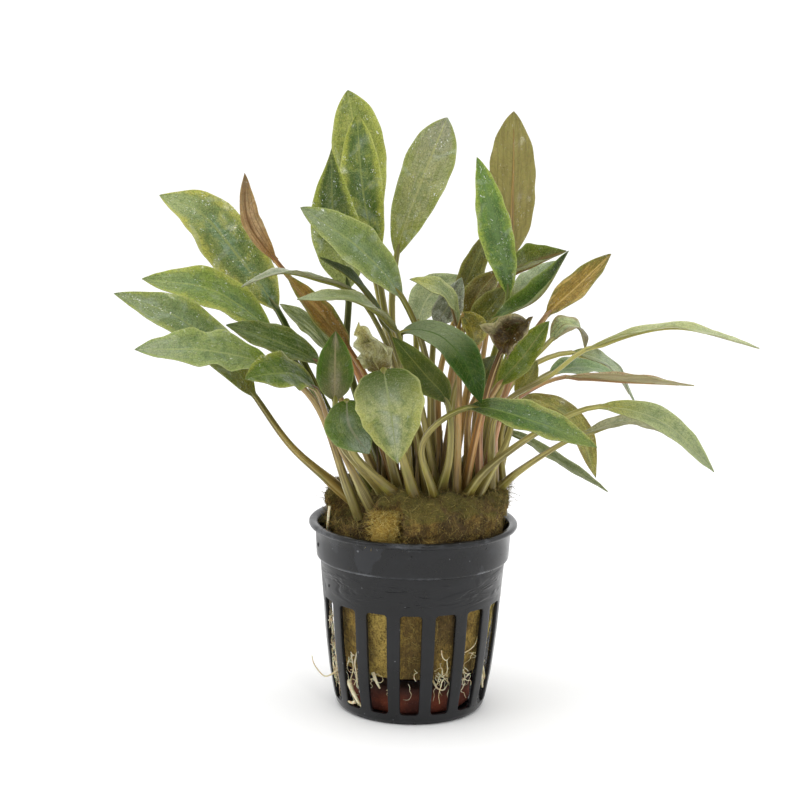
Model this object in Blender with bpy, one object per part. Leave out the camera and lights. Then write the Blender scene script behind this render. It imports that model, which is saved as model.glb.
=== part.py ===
"""Potted cryptocoryne: an aquarium plant in rockwool, standing in a slotted net pot.

Fifty leaves, each grown in one piece with its stalk, rise from a rockwool plug. The plug sits in a black
slotted pot above a clay ring, and a few white roots show in the slots. Sizes are written in millimetres and
scaled to metres when the objects are made. The pot stands on z = 0 with its axis on the Z axis, and the
front of the plant faces -Y.
"""

import bpy
import bmesh
import numpy as np
from math import cos, pi, radians, sin

MM = 0.001

# Pot
RIM_RADIUS = 27.5
POT_HEIGHT = 50.3
FLOOR_THICKNESS = 1.2
SLOT_COUNT = 16
SLOT_ANGLE = 13.8
FRONT_ANGLE = -90.0
DRAIN_INNER = 9.0
DRAIN_OUTER = 14.0

# Outer radius and height, then inner radius and height, from the floor of the pot up to the lip.
POT_PROFILE = [
    (DRAIN_INNER, 0.0, DRAIN_INNER, FLOOR_THICKNESS),
    (DRAIN_OUTER, 0.0, DRAIN_OUTER, FLOOR_THICKNESS),
    (18.2, 0.0, 17.9, FLOOR_THICKNESS),
    (19.7, 1.1, 18.8, 1.8),
    (20.3, 3.0, 19.3, 3.2),
    (21.6, 10.0, 20.6, 10.0),
    (22.8, 20.0, 21.8, 20.0),
    (23.6, 30.5, 22.6, 30.5),
    (24.4, 40.0, 23.4, 40.2),
    (25.4, 41.0, 24.4, 41.4),
    (25.8, 48.7, 24.9, 48.7),
    (27.0, 48.7, 25.1, 49.9),
    (RIM_RADIUS, 49.3, 25.6, POT_HEIGHT),
    (27.2, POT_HEIGHT, 26.4, POT_HEIGHT),
]
DRAIN_ROW = 0
SLOT_ROWS = (4, 5, 6)

# Rockwool plug: height, centre x, half width and half depth of each level.
PLUG_SIDES = 24
PLUG_TOP = 60.0
PLUG_LEVELS = [
    (12.0, 0.3, 18.0, 18.0),
    (20.0, 0.3, 19.8, 19.8),
    (30.0, 0.3, 20.9, 20.9),
    (41.0, 0.3, 21.9, 21.9),
    (50.0, 0.5, 23.2, 22.9),
    (55.5, 1.0, 24.2, 22.6),
    (58.6, 1.1, 24.0, 19.5),
    (PLUG_TOP, 1.0, 22.6, 16.2),
]

# Loose rockwool chip in its pocket at the front of the plug.
CHIP_CENTRE = (-7.2, -20.0, 52.0)
CHIP_SIZE = (6.4, 4.2, 8.4)
CLEARANCE = 0.3

# Clay weight ring on the floor of the pot.
RING_OUTER = 16.0
RING_INNER = 8.5
RING_HEIGHT = 7.2
RING_SIDES = 24
RING_EDGE = 0.8

# Leaves
STALK_BASE_RADIUS = 1.4
STALK_NECK_RADIUS = 0.95
STALK_ANGLES = (200, 145, 90, 35, -20, -90)
BLADE_THICKNESS = 1.1
TIP_THICKNESS = 0.6
FOLD = 0.18
STALK_STATIONS = (0.0, 0.3, 0.64)
BLADE_STATIONS = (0.0, 0.12, 0.3, 0.52, 0.74, 0.92)
BASE_HEIGHT = PLUG_TOP + 0.4

# Colour and roughness of each material.
MATERIALS = {
    "pot_plastic": ((0.018, 0.019, 0.021), 0.38),
    "rockwool": ((0.33, 0.25, 0.09), 0.95),
    "rockwool_light": ((0.50, 0.42, 0.16), 0.95),
    "clay": ((0.42, 0.15, 0.08), 0.85),
    "root_white": ((0.75, 0.70, 0.55), 0.6),
    "leaf_green": ((0.17, 0.25, 0.07), 0.35),
    "leaf_dark": ((0.07, 0.13, 0.05), 0.35),
    "leaf_bright": ((0.22, 0.33, 0.05), 0.35),
    "leaf_pale": ((0.36, 0.42, 0.24), 0.4),
    "leaf_yellow": ((0.38, 0.37, 0.10), 0.4),
    "leaf_olive": ((0.22, 0.19, 0.07), 0.4),
    "leaf_brown": ((0.34, 0.16, 0.06), 0.45),
    "leaf_withered": ((0.26, 0.19, 0.10), 0.6),
}

# White roots: material runs along the points, with the radius given.
ROOTS = {
    "root_curl": (0.5, [(-17.2, -7.4, 9.6), (-19.8, -8.4, 8.4), (-22.6, -8.8, 8.2), (-25.2, -8.9, 10.2),
                        (-26.4, -8.8, 13.4)]),
    "root_thick": (0.8, [(-13.2, -12.2, 9.8), (-12.4, -12.9, 7.0), (-10.8, -14.2, 4.6)]),
    "root_front": (0.5, [(6.6, -16.4, 11.0), (8.0, -16.2, 8.6), (9.4, -15.5, 6.4)]),
    "root_right": (0.6, [(15.4, -7.6, 10.6), (17.6, -7.6, 8.4), (19.4, -8.0, 5.8)]),
}
ROOT_SIDES = 6

# One leaf: its base on the plug, points along the stalk, points along the blade from the neck to the tip,
# the widest place, how full the tip is (small is blunt), the way its upper side looks, and its material.
LEAVES = {}


def leaf(name, base, stalk, blade, width, face, material, tip=0.9):
    LEAVES[name] = dict(base=base, stalk=stalk, blade=blade, width=width, face=face, material=material, tip=tip)


# Left side of the plant
leaf("leaf_left_1", (-14, 5), [(-31, 6, 93)], [(-37, 9, 104), (-47, 11, 117), (-58, 13, 129), (-69, 16, 133)],
     14.5, (0.25, -0.85, 0.5), "leaf_green")
leaf("leaf_left_2", (-13, 0), [(-30, 1, 89)], [(-38, 3, 99), (-53, 0, 110), (-71, -3, 113)],
     12, (0.2, -0.7, 0.7), "leaf_yellow")
leaf("leaf_left_3", (-21.5, -3), [(-32, -8, 71)],
     [(-41, -10, 84), (-47, -13, 93), (-59, -14, 104), (-76, -17, 111)],
     12, (0.3, -0.7, 0.65), "leaf_dark")
leaf("leaf_left_4", (-17, -9), [(-26, -13, 84)], [(-36, -17, 93), (-51, -24, 98), (-69, -30, 99)],
     12.5, (0.05, -0.65, 0.75), "leaf_pale")
leaf("leaf_left_5", (-9, -3), [(-18, -4, 80)], [(-25, -4, 92), (-37, -5, 98), (-49, -6, 102)],
     10, (0.2, -0.65, 0.75), "leaf_dark")
leaf("leaf_left_6", (-13, -12), [(-21, -16, 77)], [(-25, -20, 88), (-29, -23, 92), (-35, -32, 94), (-41, -40, 94)],
     12, (-0.1, -0.8, 0.45), "leaf_green")
leaf("leaf_left_7", (-8, -12), [(-19, -19, 75)], [(-20, -24, 86), (-20, -28, 95), (-20, -27, 104)],
     9.5, (0.1, -1, 0.15), "leaf_dark")
leaf("leaf_left_8", (-5, -2), [(-18, -6, 96)], [(-36, -10, 119), (-43, -11, 129), (-44, -10, 141)],
     5, (0.5, -0.8, 0.1), "leaf_brown")
leaf("leaf_left_9", (-4, -5), [(-11, -10, 86)], [(-17, -12, 97), (-23, -14, 105), (-30, -15, 113)],
     7, (0.5, -0.8, 0.4), "leaf_brown")
leaf("leaf_left_10", (-10, 9), [(-16, 8, 83)], [(-22, 6, 93), (-28, 6, 100), (-36, 6, 106)],
     7, (0.3, -0.6, 0.8), "leaf_dark")

# Tall leaves at the back
leaf("leaf_top_1", (1, 9), [(-7, 14, 93)], [(-13, 19, 120), (-16, 25, 140), (-20, 30, 161)],
     14.5, (0, -1, 0.2), "leaf_yellow", tip=0.45)
leaf("leaf_top_2", (2, 4), [(-6, 8, 91)], [(-11, 8, 117), (-15, 11, 136), (-17, 16, 155)],
     11, (-0.1, -1, 0.2), "leaf_green", tip=0.7)
leaf("leaf_top_3", (-7, 2), [(-18, 2, 92)], [(-18, 0, 111), (-22, 0, 129), (-23, 3, 147)],
     13.5, (0.15, -1, 0.2), "leaf_dark", tip=1.3)
leaf("leaf_top_4", (4, -4), [(3, -8, 92)], [(-4, -14, 111), (-15, -20, 124), (-29, -25, 134)],
     11.5, (0.35, -0.85, 0.5), "leaf_green", tip=0.8)
leaf("leaf_top_5", (3, -7), [(-2, -8, 84)], [(-7, -12, 102), (-14, -17, 114), (-24, -26, 122)],
     7, (0.3, -0.3, 0.9), "leaf_dark")
leaf("leaf_top_6", (0, -3), [(-4, -5, 88)], [(-16, -13, 112), (-25, -18, 116), (-34, -24, 118), (-43, -30, 115)],
     6, (0, -0.05, 1), "leaf_pale")
leaf("leaf_top_7", (-1, -8), [(-3, -13, 87)], [(-5, -19, 103), (-15, -28, 112), (-29, -36, 113)],
     9, (0.1, -0.25, 1), "leaf_green")
leaf("leaf_top_8", (5, 11), [(-6, 17, 93)], [(-6, 24, 117), (0, 30, 136), (7, 36, 154)],
     13.5, (0.1, -1, 0.15), "leaf_olive", tip=0.5)
leaf("leaf_top_9", (10, 8), [(16, 15, 93)], [(24, 22, 117), (25, 28, 136), (25, 34, 156)],
     13, (0, 1, -0.1), "leaf_olive", tip=0.7)
leaf("leaf_top_10", (7, 5), [(6, 8, 86)], [(10, 9, 103), (14, 11, 115), (19, 14, 126)],
     7, (0.4, -0.6, 0.5), "leaf_olive")
leaf("leaf_top_11", (7, -2), [(10, -4, 86)], [(11, -8, 102), (7, -12, 112), (-2, -16, 116)],
     7.5, (0.2, -0.5, 0.8), "leaf_pale")
leaf("leaf_top_12", (0, 14), [(0, 19, 90)], [(0, 21, 99), (4, 28, 107), (13, 32, 111)],
     10, (0, -0.8, 0.6), "leaf_pale")
leaf("leaf_top_13", (5, 1), [(4, 0, 90)], [(5, -1, 102), (8, -3, 108), (11, -4, 115)],
     7.5, (0.2, -0.9, 0.3), "leaf_withered")

# Right side of the plant
leaf("leaf_right_1", (14, -1), [(19, -3, 91)], [(23, -7, 111), (19, -9, 129), (14, -8, 146)],
     8.3, (-0.2, -1, 0.1), "leaf_bright", tip=0.6)
leaf("leaf_right_2", (10, -6), [(10, -9, 87)], [(19, -11, 105), (30, -15, 112), (37, -18, 124)],
     6, (-0.2, -0.6, 0.7), "leaf_bright")
leaf("leaf_right_3", (15, 5), [(17, 8, 89)], [(22, 8, 113), (30, 4, 118), (38, 1, 122)],
     8, (0, -0.5, 0.8), "leaf_olive")
leaf("leaf_right_4", (16, 11), [(22, 18, 87)], [(25, 17, 105), (31, 19, 111), (37, 22, 117)],
     9, (-0.2, -0.7, 0.6), "leaf_pale")
leaf("leaf_right_5", (18, -3), [(25, -4, 91)], [(33, -6, 106), (41, -5, 114), (49, -4, 122)],
     7.5, (-0.4, -0.75, 0.5), "leaf_brown")
leaf("leaf_right_6", (17, -7), [(17, -8, 79)], [(21, -13, 89), (27, -15, 97), (33, -16, 106)],
     8.5, (-0.4, -0.75, 0.4), "leaf_bright")
leaf("leaf_right_7", (20, -6), [(21, -11, 82), (34, -19, 93)], [(42, -22, 100), (62, -28, 107), (83, -33, 103)],
     7, (-0.03, -0.2, 1), "leaf_yellow")
leaf("leaf_right_8", (21, -1), [(22, 1, 78), (31, 1, 86)], [(39, 1, 89), (56, 3, 88), (73, 4, 87)],
     6, (0, -0.25, 1), "leaf_pale")
leaf("leaf_right_9", (18, 6), [(24, 10, 83)], [(36, 18, 96), (40, 20, 100), (44, 22, 99), (46, 24, 93)],
     8, (0.2, -0.3, 1), "leaf_pale")
leaf("leaf_right_10", (17, 2), [(22, 5, 84), (31, 8, 91)], [(41, 10, 94), (52, 13, 90), (59, 15, 80)],
     8, (0.1, -0.3, 1), "leaf_pale")
leaf("leaf_right_11", (22, 5), [(28, 12, 81)], [(36, 18, 87), (46, 24, 88), (56, 29, 85)],
     9, (0, -0.4, 0.9), "leaf_green")
leaf("leaf_right_12", (14, -12), [(18, -15, 67), (33, -17, 79)], [(46, -19, 85), (62, -22, 82), (75, -24, 70)],
     7.5, (0.1, -0.6, 0.8), "leaf_green")
leaf("leaf_right_13", (23, -3), [(27, -6, 65)], [(43, -9, 76), (57, -11, 80), (70, -12, 74)],
     6, (0, -0.35, 1), "leaf_pale")
leaf("leaf_right_14", (23, 2), [(23, 5, 74)], [(28, 7, 82), (42, 5, 76), (48, 2, 62)],
     7.5, (0.3, -0.7, 0.6), "leaf_yellow")
leaf("leaf_right_15", (5, -15), [(2, -23, 76)], [(13, -29, 86), (29, -35, 84), (44, -40, 79)],
     10, (0.1, -0.6, 0.8), "leaf_dark")
leaf("leaf_right_16", (12, 13), [(15, 9, 67)], [(24, 12, 72), (38, 11, 65), (52, 8, 57)],
     6, (0.2, -0.4, 0.9), "leaf_dark")
leaf("leaf_right_17", (11, -11), [(11, -13, 85)], [(11, -15, 107), (14, -15, 103), (14, -20, 99)],
     8, (0.3, -0.8, 0.3), "leaf_yellow")
leaf("leaf_right_18", (11, 4), [(9, 5, 87)], [(13, 5, 103), (16, 5, 110), (21, 7, 116)],
     8, (-0.3, -0.8, 0.4), "leaf_brown")
leaf("leaf_right_19", (10, 1), [(11, 1, 88)], [(14, 0, 99), (18, -1, 106), (23, -3, 113)],
     8, (-0.3, -0.8, 0.4), "leaf_olive")
leaf("leaf_right_20", (14, -4), [(14, -7, 81)], [(17, -9, 88), (18, -9, 92), (20, -10, 96)],
     6, (-0.2, -0.8, 0.4), "leaf_green")
leaf("leaf_right_21", (17, -10), [(24, -10, 75)], [(26, -6, 85), (29, -6, 90), (31, -5, 94)],
     5.5, (-0.3, -0.8, 0.4), "leaf_olive")

# Drooping leaves at the front
leaf("leaf_front_1", (-5, -15), [(-16, -21, 73)], [(-17, -29, 87), (-16, -35, 82), (-11, -39, 76)],
     13, (-0.1, -0.8, 0.6), "leaf_green", tip=0.6)
leaf("leaf_front_2", (0, -16), [(-5, -22, 79)], [(-8, -30, 95), (-6, -40, 87), (-4, -41, 74)],
     17, (0, -1, 0.15), "leaf_yellow", tip=0.8)
leaf("leaf_front_3", (7, -11), [(9, -16, 72)], [(8, -19, 85), (2, -28, 94), (-6, -28, 103)],
     7.5, (-0.3, -0.85, 0.4), "leaf_dark")
leaf("leaf_front_4", (6, -7), [(1, -10, 84)], [(-4, -15, 102), (4, -19, 103), (11, -24, 98), (16, -34, 88)],
     9.5, (0.3, -0.75, 0.5), "leaf_dark")

# Withered leaves
leaf("leaf_withered_1", (-4, -10), [(-8, -13, 77)], [(-9, -18, 92), (-11, -22, 99), (-15, -25, 106)],
     9, (-0.3, -0.9, 0.4), "leaf_withered", tip=0.6)
leaf("leaf_withered_2", (13, -8), [(17, -14, 83)], [(21, -18, 98), (24, -22, 104), (29, -25, 108)],
     11, (-0.2, -0.9, 0.3), "leaf_withered")


def curve_through(points, steps=12):
    """Smooth curve through the points, and the number of the curve position at each point."""
    pts = np.array(points, float)
    pts = np.vstack([2 * pts[0] - pts[1], pts, 2 * pts[-1] - pts[-2]])
    gaps = np.linalg.norm(np.diff(pts, axis=0), axis=1) ** 0.5
    knots = np.concatenate([[0.0], np.cumsum(gaps)])
    out = []
    for i in range(1, len(pts) - 2):
        k0, k1, k2, k3 = knots[i - 1:i + 3]
        for k in np.linspace(k1, k2, steps, endpoint=False):
            a1 = ((k1 - k) * pts[i - 1] + (k - k0) * pts[i]) / (k1 - k0)
            a2 = ((k2 - k) * pts[i] + (k - k1) * pts[i + 1]) / (k2 - k1)
            a3 = ((k3 - k) * pts[i + 1] + (k - k2) * pts[i + 2]) / (k3 - k2)
            b1 = ((k2 - k) * a1 + (k - k0) * a2) / (k2 - k0)
            b2 = ((k3 - k) * a2 + (k - k1) * a3) / (k3 - k1)
            out.append(((k2 - k) * b1 + (k - k1) * b2) / (k2 - k1))
    out.append(pts[-2])
    return np.array(out)


def read_along(curve, fractions, reach=0.02):
    """Positions and directions at fractions of the curve's length."""
    length = np.concatenate([[0.0], np.cumsum(np.linalg.norm(np.diff(curve, axis=0), axis=1))])

    def at(values):
        values = np.clip(values, 0.0, 1.0) * length[-1]
        return np.array([np.interp(values, length, curve[:, axis]) for axis in range(3)]).T

    fractions = np.array(fractions)
    ways = at(fractions + reach) - at(fractions - reach)
    return at(fractions), ways / np.linalg.norm(ways, axis=1)[:, None]


def blade_width(t, tip):
    """Share of the full width at fraction t of the blade, widest a little below the middle."""
    t = min(max(t, 0.0), 1.0)
    rise = 0.8
    peak = rise / (rise + tip)
    return (t ** rise * (1 - t) ** tip) / (peak ** rise * (1 - peak) ** tip)


def leaf_frames(data, stalk_stations, blade_stations):
    """Positions, sideways and upward directions at each station of a leaf."""
    steps = 12
    base = data["base"] + (BASE_HEIGHT,)
    curve = curve_through([base] + data["stalk"] + data["blade"], steps)
    neck = (1 + len(data["stalk"])) * steps
    stalk_places, stalk_ways = read_along(curve[:neck + 1], stalk_stations)
    blade_places, blade_ways = read_along(curve[neck:], blade_stations)
    places = np.vstack([stalk_places, blade_places])
    ways = np.vstack([stalk_ways, blade_ways])
    middle = len(stalk_stations) + len(blade_stations) // 2
    across = [None] * len(places)
    start = np.cross(np.array(data["face"], float), ways[middle])
    across[middle] = start / np.linalg.norm(start)
    order = [(i, i - 1) for i in range(middle + 1, len(places))]
    order += [(i, i + 1) for i in range(middle - 1, -1, -1)]
    for here, before in order:
        side = across[before] - ways[here] * np.dot(across[before], ways[here])
        across[here] = side / np.linalg.norm(side)
    across = np.array(across)
    return places, across, np.cross(ways, across)


def leaf_section(t, data):
    """Outline of the blade at fraction t, six points as (sideways, up), going from left over the top."""
    half = max(data["width"] / 2 * blade_width(t, data["tip"]), STALK_NECK_RADIUS * (1 - t) + 0.2)
    thick = BLADE_THICKNESS + (TIP_THICKNESS - BLADE_THICKNESS) * t
    opened = min(1.0, t / BLADE_STATIONS[1])
    lift = FOLD * half * opened
    crown = 0.5 * lift + 0.12 * thick
    flat = [(-half, lift), (-0.5 * half, crown), (0, 0), (0.5 * half, crown), (half, lift), (0, -thick)]
    tube = [(STALK_NECK_RADIUS * cos(radians(a)), STALK_NECK_RADIUS * sin(radians(a))) for a in STALK_ANGLES]
    return [(opened * f[0] + (1 - opened) * r[0], opened * f[1] + (1 - opened) * r[1])
            for f, r in zip(flat, tube)]


def stalk_section(t):
    """Outline of the stalk at fraction t of its length."""
    radius = STALK_BASE_RADIUS + (STALK_NECK_RADIUS - STALK_BASE_RADIUS) * t
    return [(radius * cos(radians(a)), radius * sin(radians(a))) for a in STALK_ANGLES]


def leaf_body(data):
    """Vertices and faces of one leaf: stalk, blade and tip in one closed body."""
    blade_stations = BLADE_STATIONS + (1.0,)
    places, across, up = leaf_frames(data, STALK_STATIONS, blade_stations)
    sections = [stalk_section(t) for t in STALK_STATIONS]
    sections += [leaf_section(t, data) for t in BLADE_STATIONS]
    verts = []
    for place, side, rise, section in zip(places, across, up, sections):
        verts += [place + side * x + rise * y for x, y in section]
    for corner in verts[:6]:
        corner[2] = BASE_HEIGHT
    verts.append(places[-1])
    return verts, tube_faces(len(sections), 6, pointed=True)


def tube_faces(rings, sides, pointed=False):
    """Faces that join rings of vertices into a closed tube, with a cap or a point at its far end."""
    faces = [tuple(range(sides))]
    for ring in range(rings - 1):
        for side in range(sides):
            after = (side + 1) % sides
            here = ring * sides
            faces.append((here + side, here + after, here + sides + after, here + sides + side))
    last = (rings - 1) * sides
    if pointed:
        faces += [(last + side, last + (side + 1) % sides, last + sides) for side in range(sides)]
    else:
        faces.append(tuple(range(last, last + sides)))
    return faces


def root_body(radius, points):
    """Vertices and faces of one root: a thin tube that tapers to half its size."""
    curve = curve_through(points, 6)
    stations = np.linspace(0.0, 1.0, 2 * len(points) - 1)
    places, ways = read_along(curve, stations)
    verts = []
    for t, place, way in zip(stations, places, ways):
        side = np.cross(way, (0.3, 1.0, 0.1))
        side /= np.linalg.norm(side)
        rise = np.cross(way, side)
        size = radius * (1 - 0.5 * t)
        for k in range(ROOT_SIDES):
            turn = 2 * pi * k / ROOT_SIDES
            verts.append(place + size * (cos(turn) * side + sin(turn) * rise))
    return verts, tube_faces(len(stations), ROOT_SIDES)


def pot_angles():
    """Angles of the pot's upright edges: two at each slot and one in the middle of each rib."""
    pitch = 360 / SLOT_COUNT
    angles = []
    for slot in range(SLOT_COUNT):
        middle = FRONT_ANGLE + slot * pitch
        angles += [middle - SLOT_ANGLE / 2, middle + SLOT_ANGLE / 2, middle + pitch / 2]
    return angles


def pot_body():
    """Vertices and faces of the pot: a turned wall with slots in its side and drain holes in its floor."""
    angles = pot_angles()
    count = len(angles)
    rows = len(POT_PROFILE)
    verts = []
    for shell in (0, 2):
        for row in POT_PROFILE:
            radius, height = row[shell], row[shell + 1]
            verts += [(radius * cos(radians(a)), radius * sin(radians(a)), height) for a in angles]

    def vertex(shell, row, column):
        return shell * rows * count + row * count + column % count

    def is_solid(row, column):
        column %= count
        if row in SLOT_ROWS:
            return column % 3 != 0
        if row == DRAIN_ROW:
            return column % 6 in (1, 2)
        return 0 <= row < rows - 1

    faces = [tuple(vertex(0, 0, c) for c in range(count)), tuple(vertex(1, 0, c) for c in range(count))]
    for row in range(rows - 1):
        for column in range(count):
            if not is_solid(row, column):
                continue
            ends = [(row, column), (row, column + 1), (row + 1, column + 1), (row + 1, column)]
            neighbours = [(row - 1, column), (row, column + 1), (row + 1, column), (row, column - 1)]
            for shell in (0, 1):
                faces.append(tuple(vertex(shell, r, c) for r, c in ends))
            for k, (r, c) in enumerate(neighbours):
                if row == 0 and k == 0 or is_solid(r, c):
                    continue
                a, b = ends[k], ends[(k + 1) % 4]
                faces.append((vertex(0, *a), vertex(0, *b), vertex(1, *b), vertex(1, *a)))
    for column in range(count):
        if not is_solid(0, column):
            a, b = (0, column), (0, column + 1)
            faces.append((vertex(0, *a), vertex(0, *b), vertex(1, *b), vertex(1, *a)))
    return verts, faces


def plug_body():
    """Vertices and faces of the rockwool plug: a slightly uneven round block with a raised flat top."""
    verts = []
    for level, (height, centre, half_width, half_depth) in enumerate(PLUG_LEVELS):
        for k in range(PLUG_SIDES):
            turn = 2 * pi * k / PLUG_SIDES
            uneven = 1 + 0.012 * sin(3 * turn + 0.4 * level) + 0.008 * sin(5 * turn + 1.3 + 0.3 * level)
            verts.append((centre + half_width * uneven * cos(turn), half_depth * uneven * sin(turn), height))
    return verts, tube_faces(len(PLUG_LEVELS), PLUG_SIDES)


def ring_body():
    """Vertices and faces of the clay ring, with small chamfers, standing clear of the pot floor."""
    low = FLOOR_THICKNESS + CLEARANCE
    high = low + RING_HEIGHT
    outline = [(RING_INNER, low + RING_EDGE), (RING_INNER + RING_EDGE, low), (RING_OUTER - RING_EDGE, low),
               (RING_OUTER, low + RING_EDGE), (RING_OUTER, high - RING_EDGE), (RING_OUTER - RING_EDGE, high),
               (RING_INNER + RING_EDGE, high), (RING_INNER, high - RING_EDGE)]
    verts = []
    for k in range(RING_SIDES):
        turn = 2 * pi * k / RING_SIDES
        verts += [(r * cos(turn), r * sin(turn), z) for r, z in outline]
    size = len(outline)
    faces = []
    for k in range(RING_SIDES):
        for j in range(size):
            a, b = k * size, (k + 1) % RING_SIDES * size
            faces.append((a + j, a + (j + 1) % size, b + (j + 1) % size, b + j))
    return verts, faces


def box_body(centre, size):
    """Vertices and faces of an upright box."""
    signs = [(x, y, z) for x in (-1, 1) for y in (-1, 1) for z in (-1, 1)]
    verts = [tuple(c + 0.5 * s * d for c, s, d in zip(centre, sign, size)) for sign in signs]
    faces = [(0, 1, 3, 2), (4, 6, 7, 5), (0, 4, 5, 1), (2, 3, 7, 6), (0, 2, 6, 4), (1, 5, 7, 3)]
    return verts, faces


def make_material(name):
    colour, roughness = MATERIALS[name]
    material = bpy.data.materials.new(name)
    material.use_nodes = True
    shader = material.node_tree.nodes["Principled BSDF"]
    shader.inputs["Base Color"].default_value = (*colour, 1.0)
    shader.inputs["Roughness"].default_value = roughness
    shader.inputs["Metallic"].default_value = 0.0
    return material


def make_object(name, body, material, smooth_angle=None):
    """Object in the scene from vertices in millimetres, with every face looking outwards."""
    verts, faces = body
    mesh = bpy.data.meshes.new(name)
    mesh.from_pydata([tuple(v * MM for v in vert) for vert in verts], [], faces)
    shape = bmesh.new()
    shape.from_mesh(mesh)
    loose = [v for v in shape.verts if not v.link_faces]
    bmesh.ops.delete(shape, geom=loose, context="VERTS")
    bmesh.ops.recalc_face_normals(shape, faces=shape.faces)
    shape.to_mesh(mesh)
    shape.free()
    if material is not None:
        mesh.materials.append(material)
    item = bpy.data.objects.new(name, mesh)
    bpy.context.scene.collection.objects.link(item)
    if smooth_angle is not None:
        mesh.shade_smooth()
        mesh.set_sharp_from_angle(angle=radians(smooth_angle))
    return item


def cut_pocket(plug):
    """Pocket for the loose chip, open at the front and the top."""
    x, y, z = CHIP_CENTRE
    wide, deep, high = CHIP_SIZE
    low = z - high / 2 - CLEARANCE
    back = y + deep / 2 + CLEARANCE
    front = -30.0
    top = PLUG_TOP + 2.0
    centre = (x, (front + back) / 2, (low + top) / 2)
    size = (wide + 2 * CLEARANCE, back - front, top - low)
    cutter = make_object("chip_pocket_cutter", box_body(centre, size), None)
    cutter.hide_render = True
    cutter.display_type = "WIRE"
    cut = plug.modifiers.new("chip_pocket", "BOOLEAN")
    cut.operation = "DIFFERENCE"
    cut.solver = "EXACT"
    cut.object = cutter


def build():
    for item in list(bpy.data.objects):
        bpy.data.objects.remove(item, do_unlink=True)
    materials = {name: make_material(name) for name in MATERIALS}
    make_object("pot", pot_body(), materials["pot_plastic"], smooth_angle=35)
    plug = make_object("rockwool_plug", plug_body(), materials["rockwool"], smooth_angle=50)
    cut_pocket(plug)
    make_object("rockwool_chip", box_body(CHIP_CENTRE, CHIP_SIZE), materials["rockwool_light"])
    make_object("clay_ring", ring_body(), materials["clay"], smooth_angle=35)
    for name, (radius, points) in ROOTS.items():
        make_object(name, root_body(radius, points), materials["root_white"], smooth_angle=60)
    for name, data in LEAVES.items():
        make_object(name, leaf_body(data), materials[data["material"]], smooth_angle=60)


build()
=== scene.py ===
"""Looks of the potted cryptocoryne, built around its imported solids.

Lengths are in millimetres and colours are screen values from 0 to 255, until they reach Blender. The plant's
front faces -Y and the pot stands on z = 0.
"""

from math import cos, degrees, pi, radians, sin, sqrt
from types import SimpleNamespace

import bmesh
import bpy
import numpy as np
from mathutils import Matrix, Vector, noise


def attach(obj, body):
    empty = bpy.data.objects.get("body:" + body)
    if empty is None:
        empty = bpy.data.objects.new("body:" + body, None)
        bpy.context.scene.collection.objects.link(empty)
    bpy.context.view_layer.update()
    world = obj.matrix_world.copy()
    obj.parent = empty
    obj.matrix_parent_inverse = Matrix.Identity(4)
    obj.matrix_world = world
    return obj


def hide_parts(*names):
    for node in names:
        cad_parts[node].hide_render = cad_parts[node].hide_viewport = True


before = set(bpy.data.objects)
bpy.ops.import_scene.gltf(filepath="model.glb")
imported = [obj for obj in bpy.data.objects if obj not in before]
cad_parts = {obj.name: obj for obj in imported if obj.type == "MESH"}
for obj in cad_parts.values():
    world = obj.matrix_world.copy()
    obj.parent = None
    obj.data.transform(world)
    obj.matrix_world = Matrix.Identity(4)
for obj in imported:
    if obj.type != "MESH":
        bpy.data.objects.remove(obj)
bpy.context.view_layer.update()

MM = 0.001

# Camera, from the photograph
CAMERA_PLACE = (0.0, -500.0, 175.0)
CAMERA_AIM = (-4.1, 0.0, 82.1)
CAMERA_ROLL = 1.1
CAMERA_LENS = 87.66
SENSOR_WIDTH = 36.0

# Lamps, in metres and watts: place, point that it lights, size and power.
LAMPS = {
    "top_box": ((-0.1, -0.2, 0.8), (0, 0, 0.08), 0.5, 1.6),
    "side_box": ((-0.6, -0.35, 0.4), (0, 0, 0.08), 0.3, 0.5),
    "spark": ((0.25, -0.6, 0.6), (0, 0, 0.1), 0.06, 0.5),
}
FLOOR_REACH = 12.0

# Pot
SLOT_COUNT = 16
SLOT_PITCH = 360 / SLOT_COUNT
SLOT_ANGLE = 13.8
SLOT_LOW, SLOT_HIGH = 3.0, 30.5
SLOT_CORNER = 1.0
SLOT_FRAME = 1.1
FRAME_LOW, FRAME_HIGH = SLOT_LOW - SLOT_FRAME, SLOT_HIGH + SLOT_FRAME
SLOT_RADIUS = 22.3
FRONT_ANGLE = -90.0
WALL = 1.0
WALL_TOP = 40.0
# The wall's edges at a slot: share of the way from the slot to its frame, and depth into the wall.
SLOT_STEPS = ((1.0, 0.0), (0.45, 0.0), (0.12, 0.0), (0.03, 0.05), (0.0, 0.2), (0.0, 0.8), (0.03, 0.95),
              (0.12, 1.0), (0.45, 1.0), (1.0, 1.0))
FLOOR_THICKNESS = 1.2
DRAIN_OUTER, DRAIN_INNER = 14.0, 9.0
FLOOR_RADII = (18.0, DRAIN_OUTER, DRAIN_INNER, 5.0, 0.6)
# Height and outer radius of the wall, from the foot to the shoulder under the band.
WALL_PROFILE = ((0.0, 18.6), (0.35, 19.1), (1.1, 19.7), (3.0, 20.3), (10.0, 21.6), (20.0, 22.8), (30.5, 23.6),
                (WALL_TOP, 24.4))
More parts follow.
